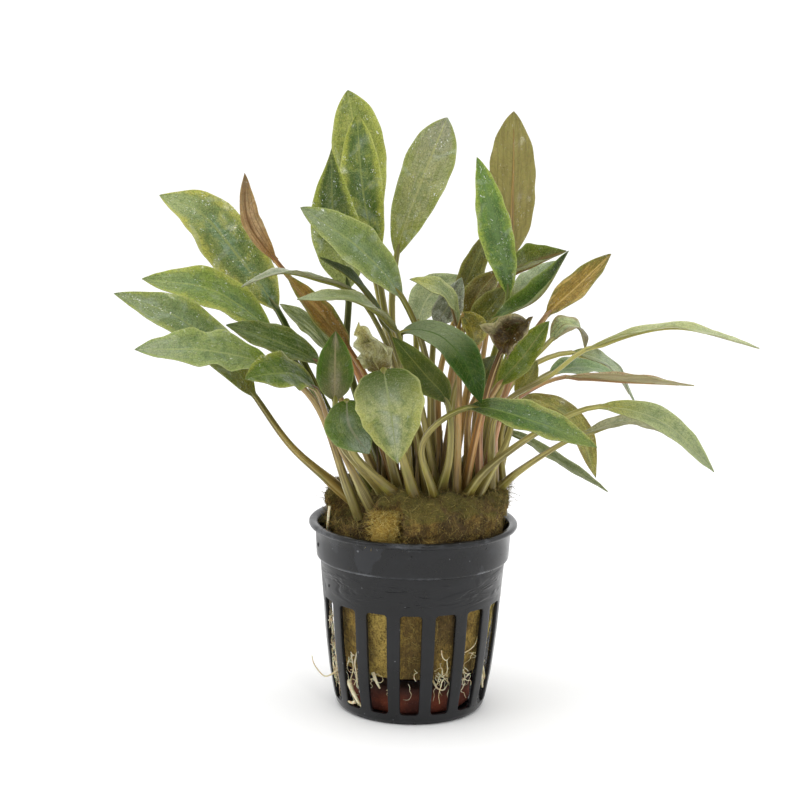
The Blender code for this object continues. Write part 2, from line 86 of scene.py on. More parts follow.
# The rest of the section, as (radius, height): the band, the rolled lip and the inside down to the slots.
BAND_OUTLINE = [(24.42, 40.4), (24.62, 40.44), (24.98, 40.52), (25.22, 40.68), (25.37, 40.94), (25.43, 41.3),
                (25.5, 43.0), (25.65, 46.0), (25.78, 48.2), (25.95, 48.6), (26.3, 48.75), (26.9, 48.8),
                (27.3, 49.0), (27.5, 49.4), (27.45, 49.85), (27.15, 50.2), (26.7, 50.3), (26.1, 50.3),
                (25.6, 50.15), (25.25, 49.8), (25.0, 49.0), (24.8, 46.0), (24.5, 42.0), (24.35, 41.3),
                (23.9, 40.7), (23.5, 40.2), (23.35, 39.5)]
# Small moulding nubs on the band and the wall: angle, height and size. Each has rings: share of the size, rise.
NUBS = ((-165.0, 44.5, 0.5), (-90.5, 46.6, 0.45), (-43.0, 47.1, 0.3), (-154.5, 34.5, 0.35))
NUB_RINGS = ((1.0, -0.3), (0.95, 0.06), (0.6, 0.2), (0.2, 0.24))
BAND_STEP = 1.2

# Rockwool plug: height, centre x, half width and half depth of each level.
PLUG_FOOT, PLUG_TOP = 12.0, 60.0
PLUG_LEVELS = ((PLUG_FOOT, 0.3, 18.6, 18.4), (20.0, 0.3, 20.7, 20.4), (30.0, 0.3, 21.8, 21.5),
               (41.0, 0.3, 22.5, 22.3), (50.0, 0.5, 23.2, 22.9), (55.5, 1.0, 24.2, 22.6),
               (58.6, 1.1, 24.0, 19.5), (PLUG_TOP, 1.0, 22.6, 16.2))
PLUG_COLUMNS = 200
UNDER_SHARES = (0.05, 0.5, 0.85)
TOP_SHARES = (0.96, 0.9, 0.84, 0.77, 0.7, 0.62, 0.54, 0.46, 0.38, 0.3, 0.22, 0.14, 0.07, 0.02)
CHIP_CENTRE = Vector((-7.2, -20.0, 52.0))
CHIP_SIZE = Vector((6.4, 4.2, 8.4))
CHIP_STEPS = 14

# Clay weight ring
RING_OUTER, RING_INNER = 16.0, 8.5
RING_LOW, RING_HIGH = 1.5, 8.7
RING_BEVEL = np.array([(0.0, 0.9), (0.25, 0.3), (0.9, 0.0)])
RING_TURNS = 120

# Leaves: stations along the blade, along the stalk and across the blade.
BLADE_T = 0.5 - 0.5 * np.cos(np.linspace(0.0, pi, 41))
STALK_T = np.linspace(0.0, 1.0, 15)[:-1]
ACROSS = np.linspace(-1.0, 1.0, 17)
STALK_SIDES = 14
CURVE_STEPS = 12
BASE_HEIGHT = PLUG_TOP + 0.4
ROOTED = 9.0
FACE_AT = 0.52
FOLD = 0.18
BLADE_THICK, EDGE_THICK = 0.42, 0.04
GROOVE_DEPTH, GROOVE_WIDTH = 0.22, 0.45
UNEVEN = 0.07
POINT_SLOPE = 1.2
RIPPLE, RIPPLE_LENGTH = 0.16, 2.2
CRUMPLE_LENGTH = 3.4
NOISE_OFFSETS = ((9.3, -1.5, -8.0), (0.0, 0.0, 0.0), (-6.3, 0.2, 4.9))
FOOT_RADIUS = 1.22
STALK_FLAT = 0.88
MIDRIB_END = 0.9

# Looks that a leaf has unless its row says otherwise. The first ones follow from others, or are layers that it
# goes without.
LEAF_LOOK = dict.fromkeys(("light", "rib", "under", "centre", "centre_share", "end", "neck", "streak",
                           "streak_tone", "vein_tone", "tip_left", "tip_right"))
LEAF_LOOK.update(mottle=0.5, wet=0.25, gloss=1.0, grain=1.0, net=0.36, vein=0.14, ladder=0.1, rib_width=0.07,
                 neck_span=(0.42, 0.08), cup=0.0, wave=0.1, ruffle=0.012, crumple=0.0, tip=0.9, left=1.0,
                 right=1.0, foot=0.4)
LEAF_TONES = {"tone", "light", "edge", "rib", "under", "neck", "end", "streak_tone", "vein_tone"}
LEAVES = {}


def under_gloss(colour):
    """Deeper colour that comes out as the given one once the gloss lies over it."""
    return tuple(max(0.0, 1.16 * c - 23) for c in colour)


def leaf(name, slot, stalk_tone, width, base, stalk, blade, face, tone, edge, **look):
    """Notes one leaf: its slot, its shape as in the solid, its main and edge colours, and other looks."""
    look.update(slot=slot, stalk_tone=stalk_tone, width=width, base=base, stalk=stalk, blade=blade, face=face,
                tone=tone, edge=edge)
    look.update({key: under_gloss(look[key]) for key in LEAF_TONES & look.keys()})
    LEAVES[name] = SimpleNamespace(**{**LEAF_LOOK, **look})


# Left side of the plant
leaf("left_1", "green", "dark", 14.5, (-14, 5), [(-31, 6, 93)],
     [(-37, 9, 104), (-47, 11, 117), (-58, 13, 129), (-69, 16, 133)], (0.25, -0.85, 0.5), (120, 132, 78),
     (172, 168, 90), end=(148, 158, 112), light=(174, 170, 90), centre=(108, 136, 106), centre_share=0.7,
     mottle=0.8, wet=0.7, gloss=0.6, ruffle=0.03, right=1.12, left=1.06)
leaf("left_2", "yellow", "dark", 12, (-13, 0), [(-30, 1, 89)], [(-38, 3, 99), (-53, 0, 110), (-71, -3, 113)],
     (0.2, -0.7, 0.7), (118, 136, 64), (158, 162, 76), end=(138, 150, 98), centre=(96, 124, 82),
     centre_share=0.7, wet=0.5, right=1.08)
leaf("left_3", "dark", "tan", 12, (-21.5, -3), [(-32, -8, 71)],
     [(-41, -10, 84), (-47, -13, 93), (-59, -14, 104), (-76, -17, 111)], (0.3, -0.7, 0.65), (108, 124, 72),
     (142, 148, 78), neck=(112, 112, 42), end=(134, 144, 104), centre=(116, 136, 108), wet=0.7, right=1.06)
leaf("left_4", "pale", "russet", 12.5, (-17, -9), [(-26, -13, 84)],
     [(-36, -17, 93), (-51, -24, 98), (-69, -30, 99)], (0.05, -0.65, 0.75), (128, 142, 88), (142, 152, 90),
     end=(146, 154, 122), neck=(118, 134, 58), neck_span=(0.36, 0.1), mottle=0.8, wet=0.4, wave=0.16,
     ruffle=0.045)
leaf("left_5", "dark", "russet", 10, (-9, -3), [(-18, -4, 80)], [(-25, -4, 92), (-37, -5, 98), (-49, -6, 102)],
     (0.2, -0.65, 0.75), (84, 100, 44), (108, 112, 54), streak=0.6, streak_tone=(124, 136, 96),
     end=(98, 110, 68), centre_share=0.2, gloss=0.6, ruffle=0.025)
leaf("left_6", "green", "russet", 12, (-13, -12), [(-21, -16, 77)],
     [(-25, -20, 88), (-29, -23, 92), (-35, -32, 94), (-41, -40, 94)], (-0.1, -0.8, 0.45), (94, 112, 52),
     (136, 140, 68), end=(96, 112, 54), mottle=0.9, centre_share=0.25, gloss=0.7, wet=0.5, ruffle=0.03,
     wave=0.14, foot=0.7)
leaf("left_7", "dark", "olive", 9.5, (-8, -12), [(-19, -19, 75)],
     [(-20, -24, 86), (-20, -28, 95), (-20, -27, 104)], (0.1, -1, 0.15), (84, 96, 46), (76, 100, 34),
     rib=(140, 132, 100), rib_width=0.08, neck=(122, 116, 88), neck_span=(0.5, -0.1), centre=(134, 126, 100),
     centre_share=0.95, gloss=0.6, wet=0.06, grain=0.4, mottle=0.4, foot=0.7)
leaf("left_8", "brown", "rust", 5.4, (-5, -2), [(-18, -6, 96)],
     [(-36, -10, 119), (-43, -11, 129), (-44, -10, 141)], (0.5, -0.8, 0.1), (180, 152, 114), (156, 126, 86),
     end=(140, 122, 90), neck=(148, 112, 58), neck_span=(0.4, 0.05), streak=0.6, streak_tone=(130, 98, 58),
     rib=(108, 80, 46), rib_width=0.16, vein=0.85, vein_tone=(110, 82, 48), mottle=0.2, grain=0.4, cup=0.5)
leaf("left_9", "brown", "rust", 7, (-4, -5), [(-11, -10, 86)],
     [(-17, -12, 97), (-24, -14, 106), (-34, -13, 117)], (0.5, -0.8, 0.4), (142, 112, 54), (116, 122, 58),
     streak=0.7, streak_tone=(170, 136, 84), end=(138, 116, 62), vein=0.5, vein_tone=(110, 84, 38), mottle=0.3,
     grain=0.6, tip=1.2)
leaf("left_10", "dark", "green", 7, (-10, 9), [(-16, 8, 83)], [(-22, 6, 93), (-28, 6, 100), (-36, 6, 106)],
     (0.3, -0.6, 0.8), (104, 114, 62), (130, 136, 84), streak=0.9, streak_tone=(166, 172, 132))

# Tall leaves at the back
leaf("top_1", "yellow", "olive", 14.5, (1, 9), [(-7, 14, 93)],
     [(-13, 19, 120), (-16, 25, 140), (-20, 30, 161)], (0, -1, 0.2), (142, 148, 78), (166, 168, 90),
     light=(176, 174, 98), centre=(142, 156, 88), mottle=0.7, wet=0.5, tip=0.45, tip_right=0.7, left=1.04)
leaf("top_2", "green", "olive", 11, (2, 4), [(-6, 8, 91)], [(-11, 8, 117), (-15, 11, 136), (-17, 16, 155)],
     (-0.1, -1, 0.2), (112, 126, 66), (166, 168, 82), light=(160, 160, 78), centre=(94, 116, 84), mottle=1.0,
     wet=0.6, tip=0.7)
leaf("top_3", "dark", "dark", 13.5, (-7, 2), [(-18, 2, 92)], [(-18, 0, 111), (-22, 0, 129), (-23, 3, 147)],
     (0.15, -1, 0.2), (86, 98, 50), (150, 156, 74), neck=(156, 164, 104), neck_span=(0.5, 0.15), gloss=0.7,
     light=(140, 146, 84), mottle=1.0, wet=0.9, tip=1.3)
leaf("top_4", "green", "olive", 11.5, (4, -4), [(3, -8, 92)],
     [(-4, -14, 111), (-15, -20, 124), (-29, -25, 134)], (0.35, -0.85, 0.5), (112, 128, 72), (142, 150, 86),
     end=(136, 146, 112), centre=(120, 142, 110), wet=0.6, tip=0.8)
leaf("top_5", "dark", "olive", 7, (3, -7), [(-2, -8, 84)], [(-7, -12, 102), (-14, -17, 114), (-24, -26, 122)],
     (0.3, -0.3, 0.9), (66, 80, 42), (74, 86, 44), end=(60, 70, 36), gloss=0.2, wet=0.05)
leaf("top_6", "pale", "olive", 6, (0, -3), [(-4, -5, 88)],
     [(-16, -13, 112), (-25, -18, 116), (-34, -24, 118), (-43, -30, 115)], (0, -0.05, 1), (150, 154, 130),
     (168, 170, 150), neck=(96, 100, 48), wet=0.4)
leaf("top_7", "green", "olive", 9, (-1, -8), [(-3, -13, 87)],
     [(-5, -19, 103), (-15, -28, 112), (-29, -36, 113)], (0.1, -0.25, 1), (120, 128, 84), (146, 150, 110),
     neck=(88, 92, 38), end=(150, 158, 122))
leaf("top_8", "olive", "olive", 13.5, (5, 11), [(-6, 17, 93)], [(-6, 24, 117), (0, 30, 136), (7, 36, 154)],
     (0.1, -1, 0.15), (157, 158, 106), (140, 146, 80), streak=0.35, streak_tone=(172, 172, 140), mottle=0.5,
     wet=0.9, tip=0.5, net=0.34, neck=(140, 146, 66), end=(146, 146, 122))
leaf("top_9", "olive", "brown", 13, (10, 8), [(16, 15, 93)], [(24, 22, 117), (25, 28, 136), (25, 34, 156)],
     (0, 1, -0.1), (116, 124, 66), (118, 114, 60), under=(142, 132, 82), neck=(110, 116, 54), streak=0.8,
     streak_tone=(104, 94, 50), tip=0.75, tip_left=0.6, ruffle=0.02)
leaf("top_10", "olive", "brown", 7, (7, 5), [(6, 8, 86)], [(10, 9, 103), (14, 11, 115), (19, 14, 126)],
     (0.4, -0.6, 0.5), (108, 104, 46), (134, 130, 62), streak=0.5, streak_tone=(84, 78, 34))
leaf("top_11", "pale", "brown", 7.5, (7, -2), [(10, -4, 86)], [(11, -8, 102), (7, -12, 112), (-2, -16, 116)],
     (0.2, -0.5, 0.8), (138, 146, 102), (160, 164, 110), end=(164, 164, 92))
leaf("top_12", "pale", "olive", 10, (0, 14), [(0, 19, 90)], [(0, 21, 99), (4, 28, 107), (13, 32, 111)],
     (0, -0.8, 0.6), (150, 158, 118), (164, 170, 132))
leaf("top_13", "withered", "olive", 7.5, (5, 1), [(4, 0, 90)], [(5, -1, 102), (8, -3, 108), (11, -4, 115)],
     (0.2, -0.9, 0.3), (130, 136, 112), (166, 168, 152), mottle=1.0, light=(196, 200, 188), crumple=0.5,
     wet=0.6)

# Right side of the plant
leaf("right_1", "bright", "green", 8.6, (14, -1), [(19, -3, 91)],
     [(23, -7, 111), (19, -9, 129), (14, -8, 146)], (-0.2, -1, 0.1), (98, 126, 64), (150, 162, 74),
     rib=(102, 126, 74), rib_width=0.2, end=(112, 138, 66), wet=0.7, mottle=0.9, light=(146, 160, 70),
     tip=1.05, tip_left=0.75, ruffle=0.03)
leaf("right_2", "bright", "olive", 5, (10, -6), [(10, -9, 87)],
     [(19, -11, 105), (30, -15, 112), (37, -18, 124)], (-0.2, -0.6, 0.7), (92, 112, 50), (112, 124, 62),
     end=(52, 54, 34), cup=1.2)
leaf("right_3", "olive", "brown", 8, (15, 5), [(17, 8, 89)], [(22, 8, 113), (30, 4, 118), (38, 1, 122)],
     (0, -0.5, 0.8), (102, 106, 40), (108, 116, 52), rib=(110, 88, 48), rib_width=0.35, end=(96, 100, 50),
     cup=0.8)
leaf("right_4", "pale", "green", 9, (16, 11), [(22, 18, 87)], [(25, 17, 105), (31, 19, 111), (37, 22, 117)],
     (-0.2, -0.7, 0.6), (150, 160, 128), (164, 172, 142), neck=(122, 124, 66))
leaf("right_5", "brown", "pink", 7.5, (18, -3), [(25, -4, 91)], [(33, -6, 106), (41, -5, 114), (49, -4, 122)],
     (-0.4, -0.75, 0.5), (146, 122, 58), (118, 114, 54), rib=(186, 160, 100), streak=0.9, mottle=0.25,
     grain=0.6, streak_tone=(176, 150, 88), end=(112, 106, 50))
leaf("right_6", "bright", "pink", 8.5, (17, -7), [(17, -8, 79)],
     [(21, -13, 89), (27, -15, 97), (33, -16, 106)], (-0.4, -0.75, 0.4), (110, 124, 46), (136, 138, 60),
     rib=(140, 138, 84))
leaf("right_7", "yellow", "olive_light", 6.4, (20, -6), [(21, -11, 82), (34, -19, 93)],
     [(42, -22, 100), (62, -28, 107), (83, -33, 103)], (-0.03, -0.1, 1), (168, 172, 122), (178, 180, 132),
     neck=(148, 146, 78), end=(190, 194, 158))
leaf("right_8", "pale", "pink", 5, (21, -1), [(22, 1, 78), (31, 1, 86)],
     [(39, 1, 89), (56, 3, 88), (73, 4, 87)], (0, 0.05, 1), (172, 160, 128), (160, 128, 100),
     neck=(164, 140, 100), end=(190, 192, 156), cup=0.5)
leaf("right_9", "pale", "olive_light", 8, (18, 6), [(24, 10, 83)],
     [(36, 18, 96), (40, 20, 100), (44, 22, 99), (46, 24, 93)], (0.2, -0.3, 1), (166, 174, 126),
     (150, 132, 100), under=(150, 138, 98), streak=0.7, streak_tone=(120, 100, 66))
leaf("right_10", "pale", "olive_light", 8, (17, 2), [(22, 5, 84), (31, 8, 91)],
     [(41, 10, 94), (52, 13, 90), (59, 15, 80)], (0.1, -0.3, 1), (152, 162, 132), (100, 106, 74),
     neck=(116, 118, 56))
leaf("right_11", "green", "olive_light", 9, (22, 5), [(28, 12, 81)],
     [(36, 18, 87), (46, 24, 88), (56, 29, 85)], (0, -0.4, 0.9), (122, 144, 96), (150, 164, 120))
leaf("right_12", "green", "olive_light", 7.5, (14, -12), [(18, -15, 67), (33, -17, 79)],
     [(46, -19, 85), (62, -22, 82), (75, -24, 70)], (0.1, -0.6, 0.8), (154, 162, 118), (164, 170, 126),
     neck=(150, 150, 76), end=(146, 154, 120))
leaf("right_13", "pale", "olive_light", 6, (23, -3), [(27, -6, 65)],
     [(43, -9, 76), (57, -11, 80), (70, -12, 74)], (0, -0.35, 1), (158, 156, 124), (140, 136, 100),
     end=(180, 180, 164))
leaf("right_14", "yellow", "olive", 7.5, (23, 2), [(23, 5, 74)], [(28, 7, 82), (42, 5, 76), (48, 2, 62)],
     (0.3, -0.7, 0.6), (160, 154, 86), (140, 124, 70), mottle=0.5, light=(176, 170, 108), streak=0.5,
     streak_tone=(120, 104, 60))
leaf("right_15", "dark", "olive", 10, (5, -15), [(2, -23, 76)], [(13, -29, 86), (29, -35, 84), (44, -40, 79)],
     (0.1, -0.6, 0.8), (78, 104, 42), (140, 142, 76), neck=(70, 86, 28), end=(116, 130, 66), mottle=0.7)
leaf("right_16", "dark", "green", 4.6, (12, 13), [(15, 9, 67)], [(24, 12, 72), (38, 11, 65), (52, 8, 57)],
     (0.2, -0.4, 0.9), (128, 136, 94), (156, 160, 124), end=(142, 148, 112))
leaf("right_17", "yellow", "brown", 7, (11, -11), [(11, -13, 85)],
     [(11, -15, 107), (14, -15, 103), (14, -20, 99)], (0.3, -0.8, 0.3), (112, 102, 38), (140, 130, 56),
     mottle=0.9, light=(160, 148, 66), tip=1.2, cup=0.4)
leaf("right_18", "brown", "brown", 8, (11, 4), [(9, 5, 87)], [(13, 5, 103), (16, 5, 110), (21, 7, 116)],
     (-0.3, -0.8, 0.4), (98, 90, 38), (120, 116, 58), streak=0.5, streak_tone=(120, 96, 54))
leaf("right_19", "olive", "brown", 8, (10, 1), [(11, 1, 88)], [(14, 0, 99), (18, -1, 106), (23, -3, 113)],
     (-0.3, -0.8, 0.4), (100, 98, 38), (132, 130, 72))
leaf("right_20", "green", "brown", 6, (14, -4), [(14, -7, 81)], [(17, -9, 88), (18, -9, 92), (20, -10, 96)],
     (-0.2, -0.8, 0.4), (98, 100, 50), (124, 120, 68))
leaf("right_21", "olive", "olive_light", 5.5, (17, -10), [(24, -10, 75)],
     [(26, -6, 85), (29, -6, 90), (31, -5, 94)], (-0.3, -0.8, 0.4), (136, 128, 60), (150, 144, 82))

# Drooping leaves at the front
leaf("front_1", "green", "olive", 13, (-5, -15), [(-16, -21, 73)],
     [(-17, -29, 87), (-16, -35, 82), (-11, -39, 76)], (-0.1, -0.8, 0.6), (96, 110, 54), (92, 110, 46),
     rib=(128, 130, 104), rib_width=0.08, neck=(80, 96, 34), neck_span=(0.4, 0.2), centre=(124, 134, 116),
     centre_share=0.6, end=(136, 146, 128), gloss=0.7, wet=0.1, grain=0.5, mottle=0.9, light=(136, 144, 108),
     tip=0.6, foot=0.7)
leaf("front_2", "yellow", "olive", 17, (0, -16), [(-5, -22, 79)],
     [(-8, -30, 95), (-6, -40, 87), (-4, -41, 74)], (0, -1, 0.15), (142, 146, 96), (152, 152, 88),
     neck=(72, 86, 26), neck_span=(0.56, 0.14), rib=(128, 136, 92), rib_width=0.045, vein=0.04, ladder=0.09,
     net=0.24, grain=0.8, light=(166, 168, 124), centre=(158, 164, 142), centre_share=0.75, mottle=0.9,
     wet=0.12, tip=1.05, ruffle=0.03, foot=0.7)
leaf("front_3", "dark", "olive", 7.5, (7, -11), [(9, -16, 72)], [(8, -19, 85), (2, -28, 94), (-6, -28, 103)],
     (-0.3, -0.85, 0.4), (76, 84, 36), (92, 98, 44), rib=(112, 116, 64), centre_share=0.15, gloss=0.5,
     wet=0.06, grain=0.5)
# front_4: the paler colour at its neck is painted sheen on the crest of the arch.
leaf("front_4", "dark", "olive", 9.5, (6, -7), [(1, -10, 84)],
     [(-4, -15, 102), (4, -19, 103), (11, -24, 98), (16, -34, 88)], (0.3, -0.75, 0.5), (54, 74, 28),
     (58, 80, 36), under=(104, 86, 40), rib=(70, 90, 46), neck=(116, 126, 96), neck_span=(0.62, 0.3),
     end=(46, 68, 26), centre_share=0.2, gloss=0.2, net=0.2, grain=0.4, wet=0.06)

# Withered leaves
leaf("withered_1", "withered", "olive", 8, (-4, -10), [(-8, -13, 77)],
     [(-9, -18, 92), (-11, -22, 99), (-15, -25, 106)], (-0.3, -0.9, 0.4), (166, 160, 112), (200, 198, 164),
     neck=(110, 94, 42), end=(184, 174, 112), mottle=0.9, light=(208, 208, 182), gloss=0.6, crumple=2.1,
     wave=0.3, cup=0.5, tip=1.3, ruffle=0.08)
leaf("withered_2", "withered", "withered", 10, (13, -8), [(17, -14, 83)],
     [(21, -18, 98), (24, -22, 104), (29, -25, 108)], (-0.2, -0.9, 0.3), (78, 60, 28), (156, 144, 112),
     light=(118, 96, 52), mottle=1.0, crumple=1.3, wave=0.2, cup=0.9, tip=1.1, ruffle=0.08)

# Stalk colours: foot, middle and neck.
STALK_TONES = {
    "withered": ((122, 100, 56), (176, 132, 86), (72, 56, 28)),
    "russet": ((158, 152, 100), (172, 150, 106), (116, 88, 62)),
    "olive": ((104, 90, 48), (156, 146, 92), (122, 124, 56)),
    "olive_light": ((112, 100, 54), (164, 154, 96), (158, 154, 88)),
    "green": ((112, 100, 50), (150, 152, 76), (88, 104, 40)),
    "brown": ((114, 98, 56), (180, 148, 102), (144, 122, 68)),
    "rust": ((112, 94, 56), (182, 128, 88), (144, 102, 54)),
    "pink": ((114, 100, 60), (198, 154, 124), (168, 136, 96)),
    "tan": ((168, 146, 90), (156, 138, 82), (104, 112, 48)),
    "dark": ((112, 108, 50), (74, 84, 32), (66, 82, 32)),
}

# The larger roots: radius at the start, and points along the root.
ROOTS = {
    "curl": (0.26, [(-18.4, -8.2, 11.8), (-19.9, -8.8, 10.4), (-22.4, -9.0, 9.4), (-24.5, -9.0, 11.4),
                    (-25.5, -9.0, 13.2), (-25.9, -9.0, 15.0)]),
    "thick": (0.72, [(-16.0, -12.2, 9.6), (-15.4, -13.1, 8.0), (-14.4, -14.1, 6.2), (-13.2, -15.0, 4.4),
                     (-12.4, -15.3, 3.4)]),
    "front": (0.3, [(5.9, -16.8, 11.6), (7.2, -16.9, 9.4), (8.7, -16.8, 9.0), (9.8, -16.4, 10.4)]),
    "right": (0.6, [(18.2, -7.8, 12.0), (18.9, -7.2, 9.4), (19.2, -6.4, 6.4)]),
}
# Smaller single roots behind the slots, in the same way.
SMALL_ROOTS = (
    (0.55, [(-9.6, -16.9, 13.4), (-8.8, -17.5, 11.4), (-7.7, -18.0, 9.4)]),
    (0.5, [(-12.6, -15.2, 12.6), (-12.2, -15.6, 10.2), (-11.2, -16.0, 8.4)]),
    (0.16, [(7.2, -17.9, 14.0), (8.4, -17.6, 12.8), (9.6, -17.0, 11.4), (10.4, -16.4, 9.8)]),
    (0.17, [(7.9, -19.6, 20.6), (8.3, -19.9, 18.8), (9.2, -19.6, 17.9), (10.1, -19.0, 18.7)]),
    (0.13, [(9.4, -19.3, 18.0), (9.6, -18.9, 14.8), (9.2, -18.2, 12.2)]),
    (0.16, [(13.4, -17.0, 19.0), (15.2, -15.8, 19.6), (16.8, -14.0, 20.8), (17.3, -13.2, 22.6)]),
    (0.15, [(13.5, -16.4, 14.6), (14.6, -15.3, 13.0), (15.8, -13.8, 12.6)]),
    (0.6, [(18.4, -7.4, 14.4), (19.2, -6.6, 11.4), (19.6, -5.2, 8.6)]),
    (0.3, [(-13.6, -14.4, 18.6), (-14.4, -14.0, 14.8), (-13.8, -14.8, 11.2), (-14.6, -13.4, 8.6)]),
    (0.24, [(-15.4, -13.0, 16.8), (-14.8, -13.8, 13.2), (-15.6, -12.8, 9.8)]),
    (0.5, [(-14.2, -14.6, 4.4), (-15.2, -13.4, 3.8), (-16.4, -11.8, 3.9)]),
)
# Tangles of rootlets: angle, height and number, and how far their heights vary.
TANGLES = ((-161.0, 20.0, 32, 7.0), (-158.5, 11.0, 34, 5.5), (-137.0, 13.0, 9, 5.0), (-134.0, 7.0, 5, 2.5),
           (-67.5, 12.5, 9, 2.2), (-62.0, 16.0, 3, 3.0), (-46.0, 12.5, 8, 2.6), (-44.0, 18.0, 3, 3.0),
           (-90.0, 12.0, 2, 1.0), (-24.0, 9.0, 5, 4.0), (-112.0, 11.0, 4, 2.0))


def linear(colour):
    """Linear colour for Blender from screen values, with alpha."""
    share = [min(1.0, c / 255) for c in colour]
    return tuple(c / 12.92 if c <= 0.04045 else ((c + 0.055) / 1.055) ** 2.4 for c in share) + (1.0,)


def blend(first, second, share):
    return tuple(a + (b - a) * share for a, b in zip(first, second))


class Graph:
    """Nodes of one material or world. A finish starts from one colour and lays others over it."""

    def __init__(self, name, colour=None, kind="materials"):
        self.owner = getattr(bpy.data, kind).new(name)
        self.owner.use_nodes = True
        self.tree = self.owner.node_tree
        self.colour = colour

    def put(self, sockets, values):
        """Links or sets sockets, each by its name or number."""
        for title, value in values.items():
            if isinstance(value, bpy.types.NodeSocket):
                self.tree.links.new(value, sockets[title])
            else:
                sockets[title].default_value = value

    def node(self, kind, inputs, output=0, **settings):
        """Adds a node and gives one of its outputs."""
        node = self.tree.nodes.new("ShaderNode" + kind)
        for title, value in settings.items():
            setattr(node, title, value)
        self.put(node.inputs, inputs)
        return node.outputs[output]

    def uv(self, title):
        return self.node("UVMap", {}, uv_map=title)

    def place(self):
        """Position in metres, in the frame of the part."""
        return self.node("TexCoord", {}, "Object")

    def split(self, vector):
        return self.node("SeparateXYZ", {0: vector}).node.outputs

    def math(self, operation, *values):
        return self.node("Math", dict(enumerate(values)), operation=operation)

    def times(self, first, second):
        return self.math("MULTIPLY", first, second)

    def scaled(self, value, factor, added):
        """Value times the factor, plus what is added."""
        return self.math("MULTIPLY_ADD", value, factor, added)

    def apart(self, value, mark):
        """Distance of a value from a mark."""
        return self.math("ABSOLUTE", self.math("SUBTRACT", value, mark))

    def weighed(self, *pairs):
        """Sum of values, each times its weight."""
        total = 0.0
        for value, weight in pairs:
            total = self.scaled(value, weight, total)
        return total

    def step(self, value, low, high, top=1.0, bottom=0.0):
        """Smooth rise from bottom at low to top at high; low may be the greater one."""
        ends = {"Value": value, "From Min": low, "From Max": high, "To Min": bottom, "To Max": top}
        return self.node("MapRange", ends, interpolation_type="SMOOTHSTEP")

    def band(self, value, low, full, over, high):
        """Smooth rise from low to full, and fall from over to high."""
        return self.times(self.step(value, low, full), self.step(value, high, over))

    def texture(self, kind, output, vector, scale, inputs, **settings):
        """Texture whose scale is one number, or one for each axis."""
        if isinstance(scale, tuple):
            vector, scale = self.node("Mapping", {"Vector": vector, "Scale": scale}), 1.0
        return self.node(kind, {"Vector": vector, "Scale": scale, **inputs}, output, **settings)

    def noise(self, vector, scale, detail=3.0, distortion=0.0):
        return self.texture("TexNoise", "Fac", vector, scale, {"Detail": detail, "Distortion": distortion})

    def cells(self, vector, scale, feature="F1"):
        return self.texture("TexVoronoi", "Distance", vector, scale, {}, feature=feature)

    def mix(self, share, first, second):
        pair = [linear(value) if isinstance(value, tuple) else value for value in (first, second)]
        return self.node("Mix", {0: share, 6: pair[0], 7: pair[1]}, 2, data_type="RGBA")

    def lay(self, colour, share, *rise):
        """Lays a colour over those so far, by a share, or by a value and its rise: low, high and maybe top."""
        self.colour = self.mix(self.step(share, *rise) if rise else share, self.colour, colour)

    def finish(self, settings, height=None, depth=0.1, bump=1.0):
        """Joins the colour, the settings and a height in millimetres to the shader, and gives the material."""
        shader = self.tree.nodes["Principled BSDF"].inputs
        self.put(shader, {"Base Color": self.colour, **settings})
        if height is not None:
            bumps = self.node("Bump", {"Strength": bump, "Distance": depth * MM, "Height": height})
            self.put(shader, {"Normal": bumps})
        return self.owner


